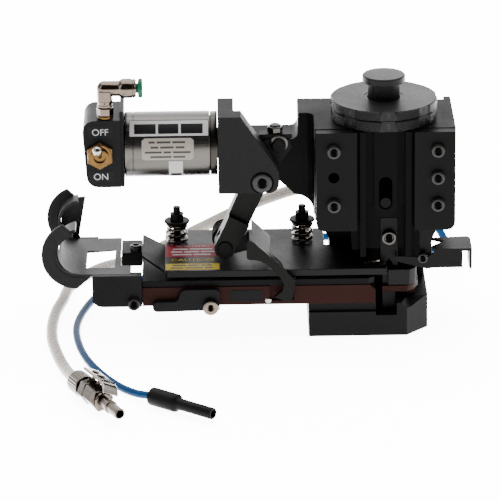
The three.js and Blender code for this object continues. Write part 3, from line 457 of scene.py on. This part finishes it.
def lettering(name, text, size, at, turn, material, body):
    """Raised words, centred on a point, with the height of the type and its place in millimetres."""
    data = bpy.data.curves.new(name, "FONT")
    data.body, data.size, data.extrude = text, size * MM, 0.05 * MM
    data.align_x, data.align_y = "CENTER", "CENTER"
    data.materials.append(material)
    obj = bpy.data.objects.new(name, data)
    scene.collection.objects.link(obj)
    rotation = Euler([math.radians(a) for a in turn]).to_matrix().to_4x4()
    obj.matrix_world = Matrix.Translation(mm(*at)) @ rotation
    return settle(as_mesh(obj), body)


FACING = (90, 0, 0)


# ---------------------------------------------------------------- hoses
AIR_ROUTE = [
    (-5, 45.3, 64), (-5.6, 52, 63.6), (-10, 60.5, 61.5), (-19, 67, 57.5), (-33, 71, 51.5),
    (-54, 74, 44.2), (-76, 77.5, 34.5), (-98, 81, 22.5), (-116, 83.5, 12.5), (-129, 84, 5.6),
    (-139.5, 81.7, 3.2), (-150.5, 74.5, 3.1), (-158.5, 65, 3.1), (-168.8, 43.6, 3.1),
    (-172, 23.8, 3.1), (-174.7, 8.8, 3.1), (-176.1, -6, 3.1), (-176.4, -20.8, 3.1),
    (-175.6, -35.3, 3.1), (-173.5, -49.7, 3.1), (-170.7, -64, 3.1), (-167.4, -77.5, 3.4),
    (-164.4, -89, 4.6), (-161.3, -100, 6.3)]
SIGNAL_ROUTE = [
    (6, 45.3, 57), (6.8, 52, 56.3), (11, 60.5, 52), (19, 67, 43.5), (28, 70.5, 32),
    (35.5, 71.5, 19.5), (40.5, 72.5, 9), (41.5, 77, 3), (38, 86, 2.1), (29, 98, 2.1), (14, 110, 2.1),
    (-6, 118.5, 2.1), (-28, 121, 2.1), (-50, 118.5, 2.1), (-71, 110.5, 2.1), (-90, 98, 2.1),
    (-105, 83.5, 2.1), (-118, 69, 2.1), (-130, 56.5, 2.1), (-142, 45.5, 2.1), (-152.3, 34, 2.1),
    (-159.5, 13, 2.1), (-163.4, -12.4, 2.1), (-162.3, -34.3, 2.1), (-157.4, -58.8, 2.1),
    (-149.6, -80.1, 2.1), (-139, -99.8, 2.1), (-130.6, -111, 2.9), (-123.6, -118.6, 4.6)]


def hose(name, points, radius, material, node):
    path = smooth_path(points)
    made = rod(name, path, radius, material, 7)
    settle(made, "frame", (node,))


COUPLING_TURN = Euler((-0.42, 0, -1.113), "XYZ")
COUPLING_AT = (-161, -101.6, 6.9)


def coupling_piece(name, bm, material, replaces=(), bevel=0.15, body="frame"):
    return finish_mesh(name, bm, material, body, replaces, bevel, at=COUPLING_AT, turn=COUPLING_TURN)


coupling_collar = coupling_piece("coupling_collar", spin([
    (0, 0.5), (5.3, 0.5), (5.8, 1.0), (5.8, 1.6), (6.0, 1.9), (6.0, 10.4), (5.8, 10.7), (5.8, 11.5),
    (5.2, 11.5), (0, 11.5)], "x", 96, (6.0, 0.25)), nickel, ("coupling_body",))
coupling_neck = coupling_piece("coupling_neck", spin([
    (0, 11.3), (4.7, 11.3), (4.7, 13.8), (0, 13.8)], "x"), ink)
coupling_nut = coupling_piece("coupling_nut", merge(
    prism(hexagon(6.6, 30), 14.0, 19.5, "yz"),
    prism(hexagon(6.2, 30), 19.5, 31.6, "yz"),
    spin([(0, 31.5), (4.7, 31.5), (4.7, 32.6), (4.2, 33.2), (0, 33.2)], "x")), nickel, bevel=0.3)
coupling_tail = coupling_piece("coupling_tail", spin([
    (2.1, 34.5), (2.1, 52), (2.5, 52), (2.8, 51.6), (2.8, 46), (2.8, 42.2), (3.4, 41.8), (3.4, 39.6),
    (2.8, 39.2), (2.8, 33), (2.1, 33), (2.1, 34.5)], "x"), steel, bevel=0.1)
latch_plate = coupling_piece("latch_plate", prism([
    (9.5, 9.8), (9.5, 8.4), (29.5, 8.4), (33.6, 7.0), (35.8, 4.9), (36.4, 4.8), (37.2, 5.4), (34.2, 8.3),
    (30, 9.8)],
    -4.3, 4.3), chrome, ("coupling_latch",), 0.3, "latch")


def rivet(along):
    profile = [(0, 5.0), (1.1, 5.0), (1.1, 9.95), (2.2, 9.95), (2.1, 10.35), (1.2, 10.6), (0, 10.6)]
    shape = spin(profile, "z", 32)
    bmesh.ops.translate(shape, vec=(along, 0, 0), verts=shape.verts)
    return shape


coupling_rivets = coupling_piece("coupling_rivets", merge(rivet(15.5), rivet(22)), steel, bevel=0)

REDUCER_TURN = Euler((0, 0, -0.682))
REDUCER_AT = (-122.9, -119.3, 4.9)
reducer = finish_mesh("reducer_sleeve", spin([
    (0, 0.5), (3.9, 0.5), (4.5, 0.9), (4.7, 1.8), (4.7, 16.6), (4.4, 17.3), (3.5, 18), (3.1, 18.6),
    (3.0, 20), (3.0, 39.9), (2.7, 40.4), (2.0, 40.4), (2.0, 22), (0, 22)], "x"),
    plastic, "frame", ("reducer",), at=REDUCER_AT, turn=REDUCER_TURN)

hose("air_hose_tube", AIR_ROUTE, 3, clear_hose, "air_hose")
hose("signal_hose_tube", SIGNAL_ROUTE, 2, blue_hose, "signal_hose")


# ---------------------------------------------------------------- pieces finished from the frame
FINISHES = {
    "base_plate": (base_steel, 0.35), "frame_column": (frame_black, 0.5), "gib_plate_left": (oxide, 0.3),
    "gib_plate_right": (oxide, 0.3), "ram": (oxide_ground, 0.2), "ram_post": (dial_black, 0.3),
    "crimp_punch": (tool_steel, 0.15), "hold_down_plunger": (oxide, 0.2),
    "anvil": (tool_steel, 0.15), "exit_plate": (brown, 0.25), "track_base": (brown, 0.25),
    "guide_plate": (oxide, 0.2), "drag_plate": (gloss_black, 0.3), "lead_in_flap": (oxide, 0.15),
    "release_lever": (plastic, 0.25), "strip_guide": (guide_grey, 0.2),
    "guide_flange_front": (foam_black, 0.7), "guide_flange_rear": (foam_black, 0.7),
    "guide_block": (plastic, 0.4), "strip_brake": (plastic, 0.3), "cylinder_bracket": (cast_grey, 0.7),
    "feed_lever": (olive, 0.35), "pawl_pin": (oxide, 0.25),
    "feed_pawl": (olive, 0.3), "rod_end": (oxide, 0.25), "rod_pin": (oxide, 0.15),
    "piston_rod": (steel, 0.2),
    "valve_body": (plastic, 0.5), "chute_guard": (guard_grey, 0.5), "rear_port_block": (oxide, 0.4),
    "drag_stud_left": (oxide, 0.2), "drag_stud_right": (oxide, 0.2),
}
for node, (material, width) in FINISHES.items():
    refine(node, material, width)

# The inner lips of the curved flanges, which close the joint between flange and sheet.
for side, near, far in (("front", -28.8, -26.35), ("rear", 30.35, 32.8)):
    lip = arc(-162, 47.5, 11.65, 100, 270, 24) + arc(-162, 47.5, 10.7, 270, 100, 24)
    finish_mesh(f"flange_lip_{side}", prism(lip, near, far), foam_black, "frame")

# ---------------------------------------------------------------- dials
FLAT_STEP = math.pi / 4
FIRST_FLAT = -math.pi / 2 + 0.05


def from_flat(point):
    """The angle from a point to the middle of the nearest numbered flat."""
    angle = math.atan2(point.y, point.x) - FIRST_FLAT
    return (angle + FLAT_STEP / 2) % FLAT_STEP - FLAT_STEP / 2


def dial(name, node, radius, low, high, body):
    """A ring with a knurled rim and eight numbered flats."""
    shape = spin([(8.7, low), (radius - 0.4, low), (radius, low + 0.4), (radius, high - 0.4),
                  (radius - 0.5, high), (10.5, high), (10.2, high - 0.25), (8.7, high - 0.25),
                  (8.7, low)], "z", 256)
    flat = radius - 0.7
    for vert in shape.verts:
        offset = from_flat(vert.co)
        reach = flat / math.cos(offset)
        length = math.hypot(vert.co.x, vert.co.y)
        if abs(offset) < 0.145 and length > reach:
            vert.co.x *= reach / length
            vert.co.y *= reach / length
    shape.faces.ensure_lookup_table()
    shape.normal_update()
    for face in shape.faces:
        centre = face.calc_center_median()
        on_rim = math.hypot(centre.x, centre.y) > flat and abs(face.normal.z) < 0.5
        face.material_index = 1 if on_rim and abs(from_flat(centre)) > 0.15 else 0
    finish_mesh(name, shape, [dial_black, dial_rim], body, (node,))
    for i in range(8):
        angle = FIRST_FLAT + i * FLAT_STEP
        at = ((flat + 0.03) * math.cos(angle), (flat + 0.03) * math.sin(angle), (low + high) / 2)
        lettering(f"{name}_mark_{i + 1}", str((i + 4) % 8 + 1), (high - low) * 0.72, at,
                  (90, 0, math.degrees(angle) + 90), number_ink, body)


dial("setting_dial_lower", "dial_lower", 27.8, 112.7, 118.3, "dial_lower")
dial("setting_dial_upper", "dial_upper", 28.0, 118.7, 123.7, "dial_upper")

# ---------------------------------------------------------------- air cylinder
AXIS_Y, AXIS_Z, BARREL = -7.5, 101.7, 17.0
finish_mesh("cylinder_barrel", spin([
    (0, -135.8), (16.2, -135.8), (16.8, -135.5), (17.0, -134.9), (17.0, -131.7), (16.75, -131.5),
    (16.75, -131.2), (17.0, -131.0), (17.0, -91.8), (16.8, -91.5), (15, -91.5), (15, -131),
    (0, -131)], "x", 128), tube_steel, "frame", ("cylinder_tube",), at=(0, AXIS_Y, AXIS_Z))
finish_mesh("cylinder_nose", spin([
    (3.3, -95), (14.7, -95), (14.7, -91.2), (16.4, -91.2), (16.8, -90.9), (16.8, -87.9), (16.5, -87.5),
    (8.1, -87.5), (8.1, -78.8), (7.6, -78.3), (3.3, -78.3), (3.3, -95)], "x", 128), cap_steel, "frame",
    ("nose_cap",), at=(0, AXIS_Y, AXIS_Z))


def wrap(name, x0, x1, z0, z1, lift, material, corner=0.0):
    """A label on the barrel's front: x along the barrel, z as heights that the front view shows."""
    bm = bmesh.new()
    angles = [math.asin((z - AXIS_Z) / BARREL) for z in (z0, z1)]
    steps = 12
    grid = []
    for radius in (BARREL + lift - 0.03, BARREL + lift):
        for i in range(steps + 1):
            angle = angles[0] + (angles[1] - angles[0]) * i / steps
            edge = min(i, steps - i) * BARREL * abs(angles[1] - angles[0]) / steps
            inset = corner - math.sqrt(corner ** 2 - (corner - edge) ** 2) if edge < corner else 0
            y, z = AXIS_Y - radius * math.cos(angle), AXIS_Z + radius * math.sin(angle)
            grid.append([bm.verts.new((x0 + inset, y, z)), bm.verts.new((x1 - inset, y, z))])
    inner, outer = grid[:steps + 1], grid[steps + 1:]
    for sheet in (inner, outer):
        for a, b in zip(sheet, sheet[1:]):
            bm.faces.new([a[0], a[1], b[1], b[0]])
    for side in (0, 1):
        for i in range(steps):
            bm.faces.new([inner[i][side], inner[i + 1][side], outer[i + 1][side], outer[i][side]])
    for end in (0, -1):
        bm.faces.new([inner[end][0], inner[end][1], outer[end][1], outer[end][0]])
    return finish_mesh(name, bm, material, "frame")


wrap("maker_label_edge", -133.3, -91.9, 110.1, 117.0, 0.03, ink)
wrap("maker_label_blank", -133.0, -92.2, 110.6, 116.8, 0.08, silver_label)
for start, end in ((-130.6, -119.4), (-118.2, -107.6), (-106.4, -95.0)):
    wrap(f"maker_bar_{int(-start)}", start, end, 111.6, 115.6, 0.12, ink)
wrap("notice_label", -126.8, -99.8, 98.2, 109.6, 0.06, cream_label, 1.6)
NOTICE_ROWS = (((-123.2, -120.0), (-119.0, -111.8), (-110.8, -104.2)), ((-122.2, -118.2), (-117.2, -110.2),
               (-109.2, -104.6)), ((-125.2, -116.4), (-115.4, -111.6), (-110.6, -101.4)),
               ((-122.4, -111.4), (-110.4, -104.2)))
for row, words in enumerate(NOTICE_ROWS):
    z = 107.6 - 2.55 * row
    for start, end in words:
        wrap(f"notice_line_{row + 1}_{int(-start)}", start, end, z - 0.5, z + 0.5, 0.10, grey_ink)
wrap("date_label", -112.9, -105.6, 85.3, 97.4, 0.06, paper)
wrap("date_mark", -111.9, -106.3, 86.0, 89.2, 0.10, ink)

# ---------------------------------------------------------------- valve and toggle
TOGGLE_X, TOGGLE_Z = -148.6, 101.4
finish_mesh("toggle_locknut", prism(hexagon(7.5, 30), -26.4, -24.4), brass, "frame",
            ("toggle_nut",), 0.35, at=(TOGGLE_X, 0, TOGGLE_Z))
finish_mesh("toggle_washer", spin([
    (4.9, -26.9), (6.1, -26.9), (6.3, -26.6), (6.3, -26.3), (4.9, -26.3), (4.9, -26.9)], "y", 64),
    brass, "frame", at=(TOGGLE_X, 0, TOGGLE_Z))
finish_mesh("toggle_bushing", spin([
    (3.3, -28.2), (4.4, -28.2), (4.8, -27.9), (4.8, -24.1), (3.3, -24.1), (3.3, -28.2)], "y", 64),
    brass, "frame", at=(TOGGLE_X, 0, TOGGLE_Z))
TOGGLE_LEAN = Euler((math.radians(90) - 0.54, 0, -0.08))
finish_mesh("toggle_handle", spin([
    (0, -1.5), (0.8, -1.3), (1.3, -0.7), (1.5, 0), (1.3, 0.8), (1.2, 1.6), (1.35, 4), (1.7, 8.4), (1.9, 9.4),
    (2.35, 10.4), (2.6, 11.6), (2.45, 12.8), (1.9, 13.8), (1.0, 14.4), (0, 14.5)], "z", 40),
    chrome, "toggle", ("toggle_lever",), at=(TOGGLE_X, -25.5, TOGGLE_Z), turn=TOGGLE_LEAN)
for word, z in (("OFF", 113.6), ("ON", 89.3)):
    tag = prism(rounded(-154.6, -141.6, z - 3, z + 3, 0.4), -24.12, -23.95)
    finish_mesh(f"valve_tag_{word.lower()}", tag, ink, "frame")
    lettering(f"valve_word_{word.lower()}", word, 5.0, (-148.2, -24.16, z), FACING, white_ink, "frame")

# ---------------------------------------------------------------- elbow fitting
ELBOW = (-145.5, -19, 0)
finish_mesh("elbow_stem", spin([
    (0, 112.4), (2.8, 112.4), (2.8, 120.3), (3.9, 120.3), (4.3, 120.6), (4.3, 121.4), (3.9, 121.9),
    (0, 121.9)]), brass, "frame", ("elbow_base",), at=ELBOW)
finish_mesh("elbow_hex", merge(
    prism(hexagon(4.5), 121.95, 125.9, "xy"),
    spin([(0, 125.8), (2.4, 125.8), (2.4, 128.4), (0, 128.4)])),
    nickel, "frame", at=ELBOW, bevel=0.3)
finish_mesh("elbow_knee", merge(
    spin([(2.7, 126.3), (3.7, 126.3), (4.0, 126.6), (4.0, 127.4), (3.7, 127.7), (3.7, 128.2), (4.0, 128.6),
          (4.0, 136), (2.7, 136), (2.7, 126.3)], "z", 64),
    spin([(0, 131.9), (1.5, 132.2), (2.9, 133.1), (3.8, 134.4), (4.15, 136), (3.9, 137.4), (3.1, 138.8),
          (1.9, 139.7), (0, 140.15)], "z", 64)),
    nickel, "elbow", ("elbow_body",), at=ELBOW)
finish_mesh("elbow_branch", spin([
    (0, 0), (4.0, 0), (4.0, 7.4), (4.3, 7.8), (5.0, 9.0), (5.1, 9.4), (5.1, 13.6), (4.7, 14.2), (4.7, 14.6),
    (4.95, 14.9), (4.8, 15.6), (4.4, 16.0), (4.3, 16.3), (2.8, 16.3), (2.8, 9), (0, 9)], "x", 64), nickel,
    "elbow", at=(-145.5, -19, 136))
finish_mesh("elbow_boss", prism(rounded(-3.1, 3.1, 129.6, 135.4, 0.7), -4.35, 0.0), nickel, "elbow",
            at=ELBOW, bevel=0.3)
finish_mesh("release_ring", spin([
    (2.1, 12.5), (2.5, 12.5), (2.5, 17.3), (4.2, 17.3), (4.8, 17.7), (5.0, 18.2), (5.0, 19.2), (4.7, 19.6),
    (2.5, 19.6), (2.1, 19.3), (2.1, 12.5)], "x", 64), green, "collet", ("elbow_collet",),
    at=(-145.5, -19, 136))

# ---------------------------------------------------------------- drag nuts and coils
def coil(name, path, radius, material, body, node):
    made = as_mesh(rod(name, path, radius, material, 4))
    return settle(made, body, (node,))


STUD_Y = 18
for side, x in (("left", -109.7), ("right", -42.9)):
    finish_mesh(f"drag_hex_{side}", merge(
        spin([(2.25, 48.8), (6.5, 48.8), (6.8, 49.1), (6.8, 49.9), (6.4, 50.2), (2.25, 50.2),
              (2.25, 48.8)], "z", 64),
        prism(hexagon(4.0, 30), 50.25, 53.9, "xy")), oxide, "frame",
        (f"drag_nut_{side}",), 0.3, at=(x, STUD_Y, 0))
    turns = [(x + u, STUD_Y + v, w) for u, v, w in helix(4.9, 38.7, 47.6, 3.9)]
    drag_coil = coil(f"drag_coil_{side}", turns, 0.8, spring_steel, "frame", f"drag_spring_{side}")
    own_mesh(drag_coil)
plunger_coil = coil("plunger_coil", helix(1.9, 77.1, 99.0, 9), 0.4, spring_steel, "ram", "plunger_spring")
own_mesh(plunger_coil)
pawl_turns = [(-84.3 + u, w, 45.7 + v) for u, v, w in helix(5.9, 0.2, 12.0, 5, 36)]
coil("pawl_coil", pawl_turns, 0.9, oxide, "lever", "pawl_spring")


# ---------------------------------------------------------------- screws
def screw(name, at, head, depth, socket, material, body="frame", shank=None,
          replaces=()):
    """A socket screw along Y, seen from the front: a chamfered cap with a round pocket, where a flat black
    hexagon is painted shade standing in for the deep hexagonal socket.
    """
    x, y, z = at
    well = y + depth * 0.55
    profile = [(0, well), (socket + 0.5, well), (socket + 0.5, y + 0.25), (socket + 0.8, y),
               (head - 0.55, y), (head - 0.15, y + 0.2), (head, y + 0.6), (head, y + depth)]
    if shank:
        radius, length = shank
        profile += [(radius, y + depth), (radius, y + length), (0, y + length)]
    else:
        profile += [(0, y + depth)]
    finish_mesh(name, spin(profile, "y", 64), material, body, replaces, at=(x, 0, z))
    # Painted shade: a flat, dead-black hexagon just inside the pocket stands in for the shadowed depth of
    # the socket.
    shade_plug = prism([(x + u, z + v) for u, v in hexagon(socket + 0.05, 12)], y + 0.35, y + depth * 0.5)
    finish_mesh(name + "_socket_shade", shade_plug, socket_shade_black, body)


GIB_SCREWS = (27.1, 102.4), (27.1, 87.5), (27.1, 72.7), (-27.1, 102.4), (-27.1, 72.7)
for number, (x, z) in enumerate(GIB_SCREWS, 1):
    screw(f"gib_cap_screw_{number}", (x, -29.3, z), 3.55, 3.0, 1.65, screw_black, shank=(2.0, 15),
          replaces=(f"gib_screw_{number}",))
screw("die_cap_screw", (2, -20.5, 51.7), 3.85, 3.0, 1.8, dark_steel, "ram",
      (2.0, 15.8), ("die_screw",))
screw("release_cap_screw", (-92.2, -34.9, 19.4), 4.1, 3.2, 1.2, steel, "frame",
      (2.0, 17), ("release_screw",))
screw("pivot_cap_screw", (-64.4, -24.9, 84.7), 5.2, 2.9, 2.2, screw_black, shank=(3.2, 44),
      replaces=("pivot_screw",))
screw("guide_screw", (-132.5, -32.4, 20.9), 3.35, 3.0, 1.6, screw_black)
screw("guard_screw", (19.5, -24.6, 41.6), 2.7, 2.4, 1.2, screw_black)

# ---------------------------------------------------------------- small pieces
finish_mesh("number_plate", prism(rounded(-82.2, -65.0, 20.5, 26.6, 0.4), -28.05, -27.85), plastic,
            "frame")
finish_mesh("detent_ball", spin([
    (0, -28.35), (0.9, -28.3), (1.4, -28.15), (1.6, -27.95), (1.6, -27.8), (0, -27.8)], "y", 32),
    chrome, "frame", at=(-61.9, 0, 20.7))


PLATE_TOP = 37.5


def drag_label(name, x0, x1, y0, y1, material, lift):
    outline = [(x0, y0), (x1, y0), (x1, y1), (x0, y1)]
    sheet = prism(outline, PLATE_TOP + lift, PLATE_TOP + lift + 0.1, "xy")
    return finish_mesh(name, sheet, material, "drag")


drag_label("warning_red", -115.7, -87.3, -5.9, 13.2, red_label, 0.0)
drag_label("warning_black", -115.7, -87.3, -15.6, -6.1, ink, 0.0)
drag_label("warning_yellow", -115.7, -87.3, -25.2, -15.8, yellow_label, 0.0)
LABEL_ROWS = (
    (6.2, ((-112.0, -104.0), (-103.0, -91.0)), white_ink),
    (2.0, ((-113.0, -107.0), (-106.0, -98.0), (-97.0, -90.0)), white_ink),
    (-2.2, ((-112.2, -102.0), (-101.0, -92.0)), white_ink),
    (-18.4, ((-112.0, -105.0), (-104.0, -98.0), (-97.0, -91.4)), grey_ink),
    (-22.4, ((-113.0, -106.4), (-105.4, -96.0), (-95.0, -90.6)), grey_ink))
for row, (y, words, material) in enumerate(LABEL_ROWS, 1):
    for start, end in words:
        drag_label(f"label_line_{row}_{int(-start)}", start, end, y - 0.9, y + 0.9, material, 0.06)
for word, size, y, material in (("WARNING", 3.6, 10.4, white_ink), ("CAUTION", 5.0, -10.8, yellow_label)):
    at = (-101.5, y, PLATE_TOP + 0.16)
    lettering(f"{word.lower()}_word", word, size, at, (0, 0, 0), material, "drag")

# The guide at the strip's exit, the cap on the track's outer end, the cutter's bright edge and the
# screw on the strip brake.
finish_mesh("exit_guide", prism([
    (1.3, -21.4), (12.5, -21.4), (15.5, -18.9), (16.6, -16.8), (6.9, -16.8), (6.9, -19.3), (1.3, -19.3)],
    25.9, 34.6, "xy"), gloss_black, "frame", bevel=0.3)
finish_mesh("track_end_cap", prism([
    (-130.9, -27.0), (-128.1, -27.0), (-128.1, -14), (-130.9, -14)], 19.0, 28.5, "xy"),
    plastic, "frame", bevel=0.2)
finish_mesh("cutter_edge", prism([
    (-11, -21.2), (-2.9, -17.4), (-2.9, -16.6), (-11, -20.4)], 37.8, 38.8, "xy"),
    steel, "drag", bevel=0.1)
finish_mesh("brake_screw", spin([
    (0, 37.5), (3.0, 37.5), (3.0, 40.2), (2.6, 40.7), (1.7, 40.7), (1.6, 39.0), (0, 39.0)], "z", 48),
    screw_black, "frame", at=(-131.6, 6, 0))

# The nut and dome on top of the rod's eye, and the ring round its pin.
ROD_EYE = (-57.2, -7.6, 0)
finish_mesh("rod_eye_nut", prism(hexagon(4.3, 15), 107.35, 110.6, "xy"), dark_steel, "rod",
            at=ROD_EYE, bevel=0.5)
finish_mesh("rod_eye_dome", spin([
    (0, 112.2), (1.6, 112.0), (2.8, 111.3), (3.2, 110.4), (0, 110.4)], "z", 48),
    dark_steel, "rod", at=ROD_EYE)
finish_mesh("rod_pin_ring", spin([
    (2.15, -12.45), (4.5, -12.45), (4.8, -12.3), (4.8, -12.15), (2.15, -12.15), (2.15, -12.45)], "y", 64),
    dark_steel, "rod", at=(-55.4, 0, 102.4))

# ---------------------------------------------------------------- stage and light
floor = bpy.data.meshes.new("floor")
FLOOR_REACH, FLOOR_Z = 9, -0.0002
corners = [(x * FLOOR_REACH, y * FLOOR_REACH, FLOOR_Z) for x, y in ((-1, -1), (1, -1), (1, 1), (-1, 1))]
floor.from_pydata(corners, [], [(0, 1, 2, 3)])
floor_object = bpy.data.objects.new("floor", floor)
scene.collection.objects.link(floor_object)
floor_look = Nodes("floor_white")
floor_tone = floor_look.span(floor_look.noise(4), 0, 1)
floor_look.link(floor_look.mix(floor_tone, rgba((0.84,) * 3), rgba((0.86,) * 3)),
                floor_look.shader.inputs["Base Color"])
floor_look.shader.inputs["Roughness"].default_value = 0.6
floor_look.shader.inputs["Emission Color"].default_value = (1, 1, 1, 1)
floor_look.shader.inputs["Emission Strength"].default_value = 10
floor.materials.append(floor_look.material)


def area(name, at, aim, size, power):
    data = bpy.data.lights.new(name, "AREA")
    data.shape, data.size, data.size_y = "RECTANGLE", *size
    data.energy = power
    light = bpy.data.objects.new(name, data)
    light.location = at
    light.rotation_euler = (Vector(aim) - Vector(at)).to_track_quat("-Z", "Y").to_euler()
    scene.collection.objects.link(light)


CENTRE = (-0.06, 0, 0.06)
area("overhead", (-0.06, 0.25, 1.4), CENTRE, (2.0, 1.4), 110)
area("left_strip", (-1.3, -0.5, 0.6), CENTRE, (0.4, 1.2), 14)
area("right_strip", (1.3, -0.5, 0.6), CENTRE, (0.4, 1.2), 14)

world = bpy.data.worlds.new("studio")
world.use_nodes = True
sky = world.node_tree
heading = sky.nodes.new("ShaderNodeSeparateXYZ")
sky.links.new(sky.nodes.new("ShaderNodeTexCoord").outputs["Generated"], heading.inputs["Vector"])
fall = sky.nodes.new("ShaderNodeMapRange")
for key, value in {"From Min": -0.2, "From Max": 0.9, "To Min": 0.2, "To Max": 6}.items():
    fall.inputs[key].default_value = value
sky.links.new(heading.outputs["Y"], fall.inputs["Value"])
sky.links.new(fall.outputs["Result"], sky.nodes["Background"].inputs["Strength"])
sky.nodes["Background"].inputs["Color"].default_value = (1, 1, 1, 1)
scene.world = world
